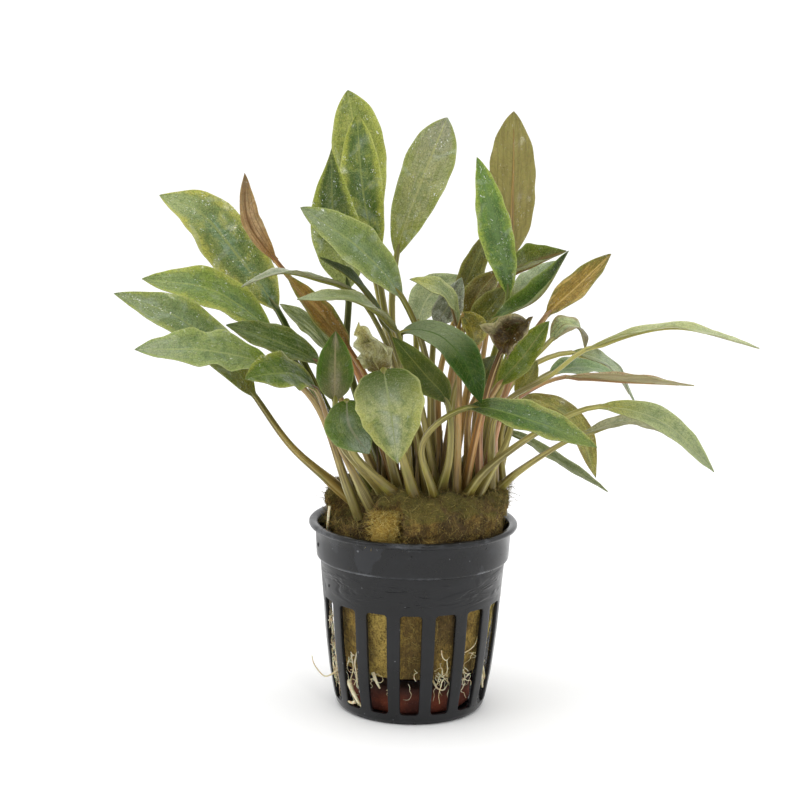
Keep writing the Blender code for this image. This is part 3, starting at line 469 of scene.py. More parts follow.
def leaf_finish(name, look):
    """Leaf blade: main colour with blotches, streaks, veins, a paler margin and a different underside, with a
    greyer middle that is partly painted sheen, painted sheen patches and glints, and a thin painted rim light
    at the margin.
    """
    tone, edge, mottle, wet = look.tone, look.edge, look.mottle, look.wet
    brown = look.slot in ("brown", "withered")
    light = look.light or blend(tone, (190, 186, 90), 0.35)
    under = look.under or blend(tone, (150, 142, 92), 0.45)
    deep = blend(tone, (34, 22, 6) if brown else (24, 56, 8), 0.5)
    bright = blend(light, (200, 200, 150), 0.3)
    graph = Graph("finish_" + name, tone)
    across, along, _ = graph.split(graph.uv("leaf"))
    span = graph.uv("span")
    is_under = graph.math("GREATER_THAN", across, 1.5)
    side = graph.math("ABSOLUTE", graph.scaled(graph.scaled(is_under, -2.0, across), 2.0, -1.0))
    blotch = graph.noise(span, 2.6, 5.0, 0.8)
    streak = graph.noise(span, (12.0, 1.1, 1.0), 2.0)
    grain = graph.noise(span, 30.0, 4.0, 0.5)
    graph.lay(deep, blotch, 0.45, 0.6, 0.9 * mottle)
    # Greyer middle of the blade: partly the leaf's own colour, partly painted sheen along the midrib.
    middle = graph.times(graph.step(side, 0.5, 0.1, look.centre_share or (0.1 if brown else 0.5)),
                         graph.step(graph.noise(span, 1.1, 2.0, 0.4), 0.35, 0.6))
    graph.lay(look.centre or blend(tone, (116, 134, 102), 0.6), middle)
    graph.lay(light, blotch, 0.47, 0.34, 0.5 * mottle)
    graph.lay(deep, graph.noise(span, 9.0), 0.52, 0.7, 0.5 * mottle)
    if look.end:
        graph.lay(look.end, along, 0.55, 0.95)
    graph.lay(edge, graph.scaled(blotch, 0.9, side), 1.02, 1.38, 0.85)
    if look.neck:
        graph.lay(look.neck, along, *look.neck_span)
    if look.streak:
        graph.lay(look.streak_tone, streak, 0.48, 0.64, look.streak)
    veins = [graph.step(graph.apart(side, mark), wide, 0.0) for mark, wide in ((0.34, 0.035), (0.66, 0.03))]
    vein = graph.math("MAXIMUM", *veins)
    rungs = graph.scaled(graph.scaled(side, -0.45, graph.split(span)[1]), 34.0, graph.times(blotch, 5.0))
    ladder = graph.step(graph.math("SINE", rungs), 0.7, 1.0)
    lines = graph.math("MAXIMUM", vein, graph.times(ladder, 0.6))
    graph.lay(look.vein_tone or bright, graph.times(vein, look.vein))
    graph.lay(bright, graph.times(ladder, look.ladder))
    graph.lay(deep, graph.cells(span, (11.0, 6.0, 1.0), "DISTANCE_TO_EDGE"), 0.1, 0.01, look.net)
    graph.lay(blend(tone, (20, 34, 6), 0.6), grain, 0.5, 0.66, 0.42 * look.grain)
    graph.lay(blend(light, (214, 216, 180), 0.4), grain, 0.46, 0.34, 0.26 * look.grain)
    # Painted sheen: greyish patches of reflected light on wet leaves.
    graph.lay((168, 178, 162), graph.noise(span, 1.5, 4.0, 1.2), 0.54, 0.68, 0.35 * wet)
    graph.lay(look.rib or blend(tone, (180, 180, 120), 0.35), side, look.rib_width, 0.3 * look.rib_width, 0.75)
    # Thin pale outline at the very margin: painted rim light.
    graph.lay(blend(edge, (206, 204, 150), 0.55), side, 0.9, 0.99, 0.4)
    below = graph.mix(graph.step(streak, 0.42, 0.62, 0.6), under, blend(under, (60, 52, 24), 0.3))
    graph.lay(below, graph.times(is_under, 0.85))
    # Painted highlights: small near-white glints of water drops on wet leaves.
    drop = graph.times(graph.step(graph.noise(span, (16.0, 8.0, 1.0), 2.0, 1.8), 0.65, 0.69),
                       graph.step(graph.noise(span, 2.4, 1.0), 0.5, 0.56, wet))
    graph.lay((240, 242, 236), drop)
    dull = 0.46 - 0.08 * wet
    roughness = graph.step(graph.noise(span, 5.0, 2.0), 0.42, 0.62, dull - 0.22 * wet, dull)
    dimples = graph.step(graph.cells(span, 10.0), 0.55, 0.0)
    height = graph.weighed((blotch, 1.2), (lines, -0.5), (dimples, 0.2 + 0.5 * wet), (streak, 0.4))
    settings = {"Roughness": roughness, "Specular IOR Level": 0.2 * look.gloss,
                "Coat Weight": (0.06 + 0.3 * wet) * look.gloss, "Coat Roughness": 0.14,
                "Subsurface Weight": 0.12, "Subsurface Radius": (0.6, 1.0, 0.2), "Subsurface Scale": 0.8 * MM}
    return graph.finish(settings, height, 0.3, 0.8)


def stalk_finish(name):
    """Stalk: three colours from foot to neck, with fine lengthwise streaks whose pale ones are partly painted
    highlights, and painted shade in its upper groove between painted highlights.
    """
    foot, middle, neck = [under_gloss(tone) for tone in STALK_TONES[name]]
    graph = Graph("finish_stalk_" + name, foot)
    around, along, _ = graph.split(graph.uv("leaf"))
    span = graph.uv("span")
    streak = graph.noise(span, (14.0, 0.5, 1.0))
    turn = graph.math("ABSOLUTE", graph.scaled(around, 2.0, -0.5))
    graph.lay(middle, along, -0.02, 0.36)
    graph.lay(neck, along, 0.55, 1.0)
    graph.lay(blend(middle, (48, 40, 14), 0.6), streak, 0.47, 0.6, 0.8)
    # Pale streaks: partly the stalk's own streaks, partly painted highlights on its ridges.
    graph.lay(blend(foot, (214, 204, 140), 0.5), streak, 0.44, 0.32, 0.6)
    graph.lay(blend(neck, (150, 150, 80), 0.3), graph.noise(span, 1.6), 0.5, 0.7, 0.5)
    # Painted shade along the groove on the stalk's upper side, and painted highlights along its two edges.
    graph.lay(blend(middle, (40, 34, 10), 0.55), turn, 0.2, 0.05, 0.45)
    graph.lay(blend(middle, (226, 220, 160), 0.6), graph.apart(turn, 0.3), 0.09, 0.02, 0.4)
    settings = {"Roughness": graph.step(streak, 0.3, 0.7, 0.5), "Specular IOR Level": 0.3, "Coat Weight": 0.12,
                "Coat Roughness": 0.3, "Subsurface Weight": 0.15, "Subsurface Radius": (1.0, 0.9, 0.4),
                "Subsurface Scale": 0.8 * MM}
    return graph.finish(settings, streak)


def pot_finish():
    """Black moulded plastic, with flow lines on the upper wall, dried water marks, and painted highlights on
    the ledge and the lip.
    """
    graph = Graph("finish_pot", (12, 13, 15))
    place = graph.place()
    height = graph.split(place)[2]
    smudge = graph.noise(place, (60.0, 60.0, 90.0), 5.0, 0.6)
    dried = graph.noise(place, (90.0, 90.0, 70.0), 4.0, 1.2)
    flow = graph.noise(place, (70.0, 70.0, 260.0), 2.0, 1.6)
    graph.lay((24, 25, 28), smudge, 0.48, 0.62, 0.6)
    graph.lay((5, 5, 6), smudge, 0.42, 0.3, 0.6)
    graph.lay((44, 46, 50), graph.times(graph.step(dried, 0.54, 0.58, 0.5), graph.step(height, 0.038, 0.042)))
    # Painted highlights along the ledge under the band and along the top of the lip, broken up by the dried
    # marks.
    ledge_highlight = graph.band(height, 0.0403, 0.0406, 0.0409, 0.0413)
    lip = graph.times(graph.step(height, 0.0492, 0.0496), graph.step(smudge, 0.4, 0.6))
    graph.lay((96, 98, 102), graph.times(graph.math("MAXIMUM", ledge_highlight, lip), graph.step(dried, 0.35, 0.6, 0.8)))
    graph.lay((120, 122, 126), graph.noise(place, 800.0, 1.0), 0.76, 0.8, 0.6)
    ripple = graph.times(graph.step(flow, 0.4, 0.62), graph.band(height, 0.0305, 0.034, 0.038, 0.0405))
    bumps = graph.scaled(graph.noise(place, 2600.0, 2.0), 0.05, ripple)
    settings = {"Roughness": graph.step(smudge, 0.4, 0.65, 0.4, 0.2), "Specular IOR Level": 0.36}
    return graph.finish(settings, bumps, 0.28, 0.7)


def rockwool_finish(name, pale, mid, dark, bright, green=None):
    """Matted mineral fibre: mixed fine streaks, with darker damp patches and green growth near the top, and
    painted light and shade on the fibre seen in the slots.
    """
    graph = Graph(name, blend(mid, dark, 0.5))
    place = graph.place()
    side, _, height = graph.split(place)
    patch = graph.noise(place, 210.0, 5.0, 0.8)
    strands = graph.noise(place, (900.0, 900.0, 260.0), 4.0, 0.8)
    stain = graph.noise(place, (190.0, 190.0, 45.0), 3.0, 0.6)
    wisps = graph.noise(place, (1500.0, 1500.0, 700.0), 3.0, 2.0)
    fuzz = graph.noise(place, 2400.0, 4.0)
    low = graph.step(height, 0.045, 0.04)
    left = graph.band(side, -0.0135, -0.0115, -0.007, -0.0015)
    sunny = graph.times(graph.math("MAXIMUM", left, graph.step(side, 0.0155, 0.0185)), low)
    slot_shade = graph.times(graph.band(side, 0.0058, 0.0078, 0.0122, 0.0142),
                      graph.step(height, 0.0185, 0.0235, 0.75))
    graph.lay(mid, strands, 0.35, 0.65)
    # Painted light: brighter fibre low down in the slots left of the front and at the far right.
    graph.lay(bright, graph.times(sunny, 0.7))
    graph.lay(pale, fuzz, 0.45, 0.7)
    graph.lay(blend(mid, bright, 0.5), height, 0.036, 0.02, 0.45)
    graph.lay(blend(dark, mid, 0.4), wisps, 0.5, 0.66, 0.5)
    graph.lay(blend(pale, bright, 0.6), wisps, 0.44, 0.32, 0.4)
    graph.lay(dark, graph.times(graph.step(patch, 0.46, 0.62), graph.step(height, 0.042, 0.048, 0.7, 0.2)))
    graph.lay(blend(pale, bright, 0.4), patch, 0.44, 0.36, 0.22)
    graph.lay(blend(dark, (30, 18, 8), 0.3), stain, 0.44, 0.62, 0.6)
    # Painted shade at the top of the slot right of the front.
    graph.lay((62, 44, 20), slot_shade)
    # More painted light on the fibre low in the far right slot.
    graph.lay(blend(bright, (255, 232, 120), 0.6), graph.times(graph.step(side, 0.0175, 0.0195, 0.8), low))
    if green:
        tufts = graph.noise(place, (170.0, 170.0, 240.0), 4.0, 0.5)
        graph.lay(green, graph.scaled(tufts, 0.03, height), 0.069, 0.074, 0.8)
        graph.lay(blend(green, dark, 0.6), fuzz, 0.52, 0.68, 0.5)
        graph.lay((84, 62, 30), graph.noise(place, 330.0, 4.0, 1.0), 0.52, 0.64, 0.55)
        graph.lay((58, 54, 20), wisps, 0.5, 0.62, 0.5)
        graph.lay((142, 124, 62), wisps, 0.44, 0.32, 0.5)
    return graph.finish({"Roughness": 0.95}, graph.scaled(strands, 0.7, fuzz), 0.5)


def fibre_finish(name, tones):
    """Loose fibres, each with its own colour from the list."""
    graph = Graph(name, tones[0])
    share = graph.split(graph.uv("leaf"))[0]
    for k, tone in enumerate(tones[1:], 1):
        edge = k / len(tones)
        graph.lay(tone, share, edge - 0.02, edge + 0.02)
    dust = graph.noise(graph.place(), 900.0, 2.0)
    graph.lay((60, 48, 20), dust, 0.4, 0.7, 0.4)
    return graph.finish({"Roughness": 0.8}, dust, 0.02)


def clay_finish():
    """Unglazed red clay, with painted shade that darkens it above, and pale grit."""
    graph = Graph("finish_clay", (124, 58, 34))
    place = graph.place()
    cloud = graph.noise(place, 240.0, 5.0, 0.3)
    pore = graph.noise(place, 1900.0)
    graph.lay((78, 34, 22), cloud, 0.35, 0.68)
    graph.lay((186, 128, 98), graph.cells(place, 1600.0), 0.22, 0.05, 0.5)
    graph.lay((70, 30, 20), pore, 0.6, 0.75, 0.7)
    # Painted shade: the clay turns darker towards its top, under the plug.
    graph.lay((42, 20, 13), graph.split(place)[2], 0.004, 0.0085, 0.85)
    return graph.finish({"Roughness": 0.85}, graph.scaled(pore, -1.0, cloud), 0.25)


def root_finish():
    """Off-white root tissue, yellower in places."""
    graph = Graph("finish_root", (226, 218, 186))
    place = graph.place()
    fine = graph.noise(place, 3200.0, 2.0)
    graph.lay((196, 176, 126), graph.noise(place, 420.0, 4.0), 0.4, 0.65)
    graph.lay((160, 134, 84), fine, 0.55, 0.75, 0.5)
    settings = {"Roughness": 0.5, "Subsurface Weight": 0.2, "Subsurface Scale": 0.5 * MM}
    return graph.finish(settings, fine, 0.06)


def crown_finish():
    """Old leaf sheaths: dark brown with lengthwise streaks."""
    graph = Graph("finish_crown", (122, 102, 56))
    place = graph.place()
    streak = graph.noise(place, (1400.0, 1400.0, 120.0))
    graph.lay((66, 52, 28), streak, 0.42, 0.6)
    graph.lay((122, 116, 58), graph.noise(place, 260.0), 0.5, 0.7, 0.6)
    return graph.finish({"Roughness": 0.6}, streak, 0.12)


def show(name, data):
    """New object in the scene."""
    item = bpy.data.objects.new(name, data)
    bpy.context.scene.collection.objects.link(item)
    return item


def make_piece(name, slot, finishes, verts, faces, maps=None, numbers=None, node=None, sharp=None):
    """Object that rides on the part, from vertices, faces, and maybe UV maps and material numbers."""
    mesh = bpy.data.meshes.new(name)
    mesh.from_pydata((np.array(verts, float) * MM).tolist(), [], faces)
    for finish in finishes:
        mesh.materials.append(finish)
    if numbers is not None:
        mesh.polygons.foreach_set("material_index", numbers)
    corners = np.empty(len(mesh.loops), np.int32)
    mesh.loops.foreach_get("vertex_index", corners)
    for title, values in (maps or {}).items():
        layer = mesh.uv_layers.new(name=title)
        layer.data.foreach_set("uv", np.array(values, np.float32)[corners].ravel())
    shape = bmesh.new()
    shape.from_mesh(mesh)
    bmesh.ops.recalc_face_normals(shape, faces=shape.faces)
    shape.to_mesh(mesh)
    shape.free()
    mesh.shade_smooth()
    if sharp is not None:
        mesh.set_sharp_from_angle(angle=radians(sharp))
    item = show(name, mesh)
    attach(item, "root")
    if node:
        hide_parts(node)


def sheet_faces(rows, columns, wrap=False):
    """Quads over a grid of vertices, row by row; wrap joins the last column to the first."""
    faces = []
    for row in range(0, (rows - 1) * columns, columns):
        for k in range(columns if wrap else columns - 1):
            after = (k + 1) % columns
            faces.append((row + k, row + after, row + columns + after, row + columns + k))
    return faces


def tube_faces(rows, columns):
    """Faces of a tube of rings, with both ends closed."""
    ends = [tuple(range(start, start + columns)) for start in (0, (rows - 1) * columns)]
    return sheet_faces(rows, columns, wrap=True) + ends


def closed_sheet(rows, columns):
    """Faces of two sheets of vertices, one after the other, joined along their margin."""
    size = rows * columns
    index = np.arange(size).reshape(rows, columns)
    rim = np.concatenate([index[0], index[1:, -1], index[-1, -2::-1], index[-2:0:-1, 0]]).tolist()
    sheet = sheet_faces(rows, columns)
    faces = sheet + [tuple(v + size for v in face) for face in sheet]
    return faces + [(a, b, b + size, a + size) for a, b in zip(rim, rim[1:] + rim[:1])]


def uv_grid(across, along):
    """UV values of a grid of vertices, from values that spread over its rows and columns."""
    return np.stack(np.broadcast_arrays(across, along), axis=-1).reshape(-1, 2)


def unit(ways):
    return ways / np.linalg.norm(ways, axis=-1, keepdims=True)


def turns(count):
    """Angles of a full turn in equal parts."""
    return 2 * pi * np.arange(count) / count


def join_parts(parts):
    """One body from several, with UV maps and a material number for each part."""
    verts, faces, numbers, maps = [], [], [], {}
    start = 0
    for number, (part_verts, part_faces, part_maps) in enumerate(parts):
        verts.append(part_verts)
        faces += [tuple(v + start for v in face) for face in part_faces]
        numbers += [number] * len(part_faces)
        for title, values in part_maps.items():
            maps.setdefault(title, []).append(values)
        start += len(part_verts)
    return np.vstack(verts), faces, {title: np.vstack(values) for title, values in maps.items()}, numbers


def curve_through(points, steps=CURVE_STEPS):
    """Smooth curve through the points, with the given number of steps from each point to the next."""
    points = np.array(points, float)
    points = np.vstack([2 * points[0] - points[1], points, 2 * points[-1] - points[-2]])
    knots = np.append(0.0, np.cumsum(np.linalg.norm(np.diff(points, axis=0), axis=1) ** 0.5))
    out = []
    for i in range(len(points) - 3):
        ends = knots[i:i + 4]
        for k in np.linspace(ends[1], ends[2], steps, endpoint=False):
            level = points[i:i + 4]
            for reach, first in ((1, (0, 1, 2)), (2, (0, 1)), (1, (1,))):
                low, high = ends[list(first), None], ends[[j + reach for j in first], None]
                level = ((high - k) * level[:-1] + (k - low) * level[1:]) / (high - low)
            out.append(level[0])
    return np.array(out + [points[-2]])


def read_along(curve, fractions, reach=0.02):
    """Positions and directions at fractions of the curve's length, and that length."""
    length = np.append(0.0, np.cumsum(np.linalg.norm(np.diff(curve, axis=0), axis=1)))

    def at(values):
        values = np.clip(values, 0.0, 1.0) * length[-1]
        return np.array([np.interp(values, length, curve[:, axis]) for axis in range(3)]).T

    return at(fractions), unit(at(fractions + reach) - at(fractions - reach)), length[-1]


def blade_width(t, tip, rise=0.8):
    """Share of the full width at fractions t of the blade, widest a little below the middle."""
    peak = rise / (rise + tip)
    return (t ** rise * (1 - t) ** tip) / (peak ** rise * (1 - peak) ** tip)


def leaf_frames(look):
    """Positions, sideways and upward directions at each station of stalk and blade, and both lengths."""
    curve = curve_through([look.base + (BASE_HEIGHT,)] + look.stalk + look.blade)
    neck = (1 + len(look.stalk)) * CURVE_STEPS
    stalk_places, stalk_ways, stalk_length = read_along(curve[:neck + 1], STALK_T)
    blade_places, blade_ways, blade_length = read_along(curve[neck:], BLADE_T)
    places = np.vstack([stalk_places, blade_places])
    ways = np.vstack([stalk_ways, blade_ways])
    middle = len(STALK_T) + int(np.argmin(np.abs(BLADE_T - FACE_AT)))
    across = np.zeros_like(places)
    across[middle] = unit(np.cross(np.array(look.face, float), ways[middle]))
    for here in range(middle + 1, len(places)):
        across[here] = unit(across[here - 1] - ways[here] * np.dot(across[here - 1], ways[here]))
    for here in range(middle - 1, -1, -1):
        across[here] = unit(across[here + 1] - ways[here] * np.dot(across[here + 1], ways[here]))
    return places, across, np.cross(ways, across), stalk_length, blade_length


def noise_way(point):
    """Smooth noise vector at a point, the same on each run."""
    return np.array([noise.noise(point + Vector(offset)) for offset in NOISE_OFFSETS])


def blade_part(look, places, across, up, length, seed):
    """Thin leaf blade: a closed sheet with a grooved midrib, a slight fold and wavy margins."""
    t = BLADE_T[:, None]
    s = ACROSS[None, :]
    uneven = [1 + UNEVEN * noise.noise((3.2 * v, seed, side)) for side in (0.3, 5.7) for v in BLADE_T]
    uneven = np.array(uneven).reshape(2, -1, 1)
    uneven[0] += look.ruffle * np.sin(2 * pi * 6.3 * t + seed)
    uneven[1] += look.ruffle * np.sin(2 * pi * 5.4 * t + 2 * seed)
    half = look.width / 2 * np.where(s < 0, blade_width(t, look.tip_left or look.tip),
                                     blade_width(t, look.tip_right or look.tip))
    # Neither blunter than a point allows, nor thinner than a thread.
    limit = 0.12 + POINT_SLOPE * (1 - t) * length
    half = (np.maximum(half, 1e-3) ** -3 + limit ** -3) ** (-1 / 3)
    half = np.maximum(half, 0.75 * (1 - t) ** 3 + 0.1 * (1 - t))
    half = half * np.where(s < 0, uneven[0] * look.left, uneven[1] * look.right)
    lift = (FOLD + look.cup * np.sin(pi * t)) * half * np.abs(s) ** 1.3
    rng = np.random.RandomState(seed)
    phase = rng.uniform(0, 2 * pi, 2)
    swing = np.sin(2 * pi * rng.uniform(2.2, 3.6) * t + np.where(s < 0, phase[0], phase[1]))
    lift = lift + look.wave * half * np.abs(s) ** 2.2 * swing * np.sin(pi * t)
    top = lift - GROOVE_DEPTH * np.exp(-(s * half / GROOVE_WIDTH) ** 2) * (1 - 0.6 * t)
    thick = BLADE_THICK * (1 - 0.55 * s ** 2) * (1 - 0.4 * t) + EDGE_THICK
    layers = [places[:, None] + across[:, None] * (s * half)[..., None] + up[:, None] * height[..., None]
              for height in (top, top - thick)]
    shift = np.zeros_like(layers[0])
    for i, j in np.ndindex(*half.shape):
        point = Vector(layers[0][i, j])
        ripple = RIPPLE * noise.noise(point / RIPPLE_LENGTH + Vector((seed, 0, 0)))
        shift[i, j] = up[i] * ripple * min(1.0, 4 * BLADE_T[i])
        if look.crumple:
            shift[i, j] += noise_way(point / CRUMPLE_LENGTH) * look.crumple * min(1.0, 3 * BLADE_T[i])
    verts = np.concatenate([(layer + shift).reshape(-1, 3) for layer in layers])
    leaf_map = uv_grid((s + 1) / 2, t)
    span = uv_grid(s * half / 10 + seed * 3.1, t * length / 10 + seed * 1.7)
    maps = {"leaf": np.vstack([leaf_map, leaf_map + (2, 0)]), "span": np.vstack([span, span + 40])}
    return verts, closed_sheet(*half.shape), maps


def stalk_part(look, places, across, up, lengths, seed):
    """Stalk that runs on as the midrib below the blade, to near its tip."""
    stop = int(np.searchsorted(BLADE_T, MIDRIB_END))
    last = len(STALK_T) + stop
    foot = places[0] - np.cross(across[0], up[0]) * ROOTED
    places = np.vstack([foot, places[:last]])
    across = np.vstack([across[:1], across[:last]])
    up = np.vstack([up[:1], up[:last]])
    t = np.concatenate([[-0.15], STALK_T, 1 + BLADE_T[:stop]])
    neck = 0.55 + 0.025 * look.width
    sheath = look.foot * np.exp(-np.maximum(t, 0) / 0.12)
    stalk_radius = neck + (FOOT_RADIUS - neck) * np.maximum(1 - t, 0) ** 1.4 + sheath
    rib_radius = neck * np.clip(2 - t, 0.0, 1.0) ** 1.3 * 0.85 + 0.07
    radius = np.where(t < 1, stalk_radius, np.minimum(rib_radius, neck))
    drop = np.where(t < 1, 0.0, (radius * STALK_FLAT + 0.3) * np.clip((t - 1) / 0.1, 0, 1))
    turn = turns(STALK_SIDES)
    hollow = 1 - 0.3 * np.exp(-((turn - pi / 2) / 0.55) ** 2) * (t < 1)[:, None]
    x = np.cos(turn) * radius[:, None] * hollow
    y = np.sin(turn) * radius[:, None] * STALK_FLAT * hollow - drop[:, None]
    verts = places[:, None] + across[:, None] * x[..., None] + up[:, None] * y[..., None]
    share = turn / (2 * pi)
    along = np.where(t < 1, t * lengths[0], lengths[0] + (t - 1) * lengths[1])[:, None]
    maps = {"leaf": uv_grid(share, t[:, None]),
            "span": uv_grid(np.abs(share - 0.5) * 2 * pi * neck / 10 + seed, along / 10)}
    return verts.reshape(-1, 3), tube_faces(len(t), STALK_SIDES), maps


def make_leaves():
    stalks = {name: stalk_finish(name) for name in STALK_TONES}
    for seed, (name, look) in enumerate(LEAVES.items(), 1):
        places, across, up, *lengths = leaf_frames(look)
        first = len(STALK_T)
        parts = [blade_part(look, places[first:], across[first:], up[first:], lengths[1], seed),
                 stalk_part(look, places, across, up, lengths, seed)]
        finishes = [leaf_finish("leaf_" + name, look), stalks[look.stalk_tone]]
        make_piece("grown_" + name, "leaf_" + look.slot, finishes, *join_parts(parts), node="leaf_" + name,
                   sharp=55)


def wall_radius(z):
    heights, radii = zip(*WALL_PROFILE)
    return float(np.interp(z, heights, radii))


def slot_frame():
    """Points round one slot, each as angle and height on its edge and on the frame around it."""
    turn = degrees(SLOT_CORNER / SLOT_RADIUS)
    half, wide = SLOT_ANGLE / 2, SLOT_PITCH / 2
    inset = half - turn
    start = SLOT_HIGH - SLOT_CORNER
    upper = []
    for k in range(5):
        a = k * pi / 8
        partner = (wide, start + (FRAME_HIGH - start) * k / 2) if k <= 2 else \
            (wide + (inset - wide) * (k - 2) / 2, FRAME_HIGH)
        upper.append((inset + turn * cos(a), start + SLOT_CORNER * sin(a), *partner))
    upper += [(x, SLOT_HIGH, x, FRAME_HIGH) for x in np.linspace(inset, 0, 4)[1:]]
    upper = np.array(upper)
    upper = np.vstack([upper, upper[-2::-1] * (-1, 1, -1, 1)])
    lower = upper[::-1] * (1, -1, 1, -1) + (0, SLOT_LOW + SLOT_HIGH, 0, SLOT_LOW + SLOT_HIGH)
    rise = np.linspace(start, SLOT_LOW + SLOT_CORNER, 13)[1:-1]
    left = [(-half, z, -wide, z) for z in rise]
    right = [(half, z, wide, z) for z in rise[::-1]]
    return np.vstack([upper, left, lower, right])


class Welded:
    """Vertices and faces, where points at the same place are one vertex."""

    def __init__(self):
        self.verts = []
        self.faces = []
        self.index = {}

    def vertex(self, angle, radius, height):
        turn = radians(angle)
        point = (radius * cos(turn), radius * sin(turn), height)
        key = tuple(round(c, 3) for c in point)
        if key not in self.index:
            self.index[key] = len(self.verts)
            self.verts.append(point)
        return self.index[key]

    def face(self, corners):
        ring = [c for k, c in enumerate(corners) if c != corners[k - 1]]
        if len(set(ring)) > 2:
            self.faces.append(tuple(ring))

    def quad(self, *points):
        self.face([self.vertex(*point) for point in points])

    def bands(self, rings):
        """Quads between each ring of vertices and the next."""
        for first, second in zip(rings, rings[1:]):
            for j in range(len(first)):
                after = (j + 1) % len(first)
                self.face((first[j], first[after], second[after], second[j]))


def make_pot(finish):
    """Net pot: a thin wall with sixteen rounded slots, a band, a rolled lip and a floor with drain openings."""
    shell = Welded()
    points = slot_frame()
    middles = [FRONT_ANGLE + k * SLOT_PITCH for k in range(SLOT_COUNT)]
    for middle in middles:
        rings = []
        for share, depth in SLOT_STEPS:
            way = [(x + (wide - x) * share, z + (tall - z) * share) for x, z, wide, tall in points]
            rings.append([shell.vertex(middle + x, wall_radius(z) - depth * WALL, z) for x, z in way])
        shell.bands(rings)
    columns = sorted({round(wide, 4) for _, _, wide, tall in points if abs(tall - FRAME_HIGH) < 1e-6})
    angles = [middle + c for middle in middles for c in columns[:-1]]
    wall = [(wall_radius(z), z) for z in np.linspace(FRAME_HIGH, WALL_TOP, 6)]
    inside = [(wall_radius(z) - WALL, z) for z in np.linspace(38.5, FRAME_HIGH, 5)]
    foot = [(wall_radius(z), z) for z in (FRAME_LOW, 1.5, 1.1, 0.7, 0.35, 0.0)] + [(FLOOR_RADII[0], 0.0)]
    turn_in = [(FLOOR_RADII[0], FLOOR_THICKNESS), (18.5, 1.4), (wall_radius(FRAME_LOW) - WALL, FRAME_LOW)]
    for outline in (wall + BAND_OUTLINE + inside, foot, turn_in):
        shell.bands([[shell.vertex(angle, r, z) for angle in angles] for r, z in outline])
    add_floor(shell, angles)
    add_nubs(shell)
    make_piece("net_pot", "pot_plastic", [finish], shell.verts, shell.faces, node="pot", sharp=40)


def add_floor(shell, angles):
    """Flat floor of the pot, with eight arched drain openings round its middle."""
    count = len(angles)
    levels = (0.0, FLOOR_THICKNESS)
    drain = [column // (count // SLOT_COUNT) % 2 == 0 for column in range(count)]
    for column in range(count):
        a, b = angles[column], angles[(column + 1) % count]
        for outer, inner in zip(FLOOR_RADII, FLOOR_RADII[1:]):
            if outer == DRAIN_OUTER and drain[column]:
                for r in (outer, inner):
                    shell.quad((a, r, 0.0), (b, r, 0.0), (b, r, FLOOR_THICKNESS), (a, r, FLOOR_THICKNESS))
                for edge, beside in ((a, column - 1), (b, (column + 1) % count)):
                    if not drain[beside]:
                        shell.quad((edge, outer, 0.0), (edge, inner, 0.0), (edge, inner, FLOOR_THICKNESS),
                                   (edge, outer, FLOOR_THICKNESS))
            else:
                for z in levels:
                    shell.quad((a, outer, z), (b, outer, z), (b, inner, z), (a, inner, z))
    for z in levels:
        shell.quad(*[(a, FLOOR_RADII[-1], z) for a in angles])


def add_nubs(shell):
    for angle, height, size in NUBS:
        radius = wall_radius(min(height, WALL_TOP)) + (BAND_STEP if height > WALL_TOP else 0.0)
        rings = []
        for share, rise in NUB_RINGS:
            wide, tall = degrees(size * share / radius), 1.3 * size * share
            rings.append([shell.vertex(angle + wide * cos(turn), radius + rise, height + tall * sin(turn))
                          for turn in turns(10)])
        shell.bands(rings)
        shell.face(rings[0])
        shell.face(rings[-1])


def plug_point(turn, height):
    """Point on the plug's side at an angle and a height, before roughening."""
    heights, *sizes = zip(*PLUG_LEVELS)
    centre, wide, deep = [np.interp(height, heights, values) for values in sizes]
    return Vector((centre + wide * cos(turn), deep * sin(turn), height))


def roughen(point, outward, depth):
    """Moves a point of the rockwool in or out, by coarse lumps and fine tufts."""
    lumps = noise.noise(point / 5.5)
    tufts = noise.noise(point / 1.7 + Vector((7, 3, 1)))
    shreds = noise.noise(Vector((point.x, point.y, point.z * 2.2)) / 0.7)
    return point + outward * depth * (0.9 * lumps + 0.5 * tufts + 0.3 * shreds - 0.25)


def top_relief(point):
    """Rise of the plug's top at a point: uneven, higher along the front and sunk on its left."""
    relief = 1.7 * (noise.noise(Vector((point.x, point.y, 0)) / 7.5) + 0.5 * noise.noise(point / 2.6) - 0.25)
    front = min(1.0, max(0.0, (-11.0 - point.y) / 4))
    left = min(1.0, max(0.0, (-9.0 - point.x) / 4)) * min(1.0, max(0.0, (1.0 - point.y) / 5))
    return relief + 1.3 * front * (1 - left) - 8.0 * left


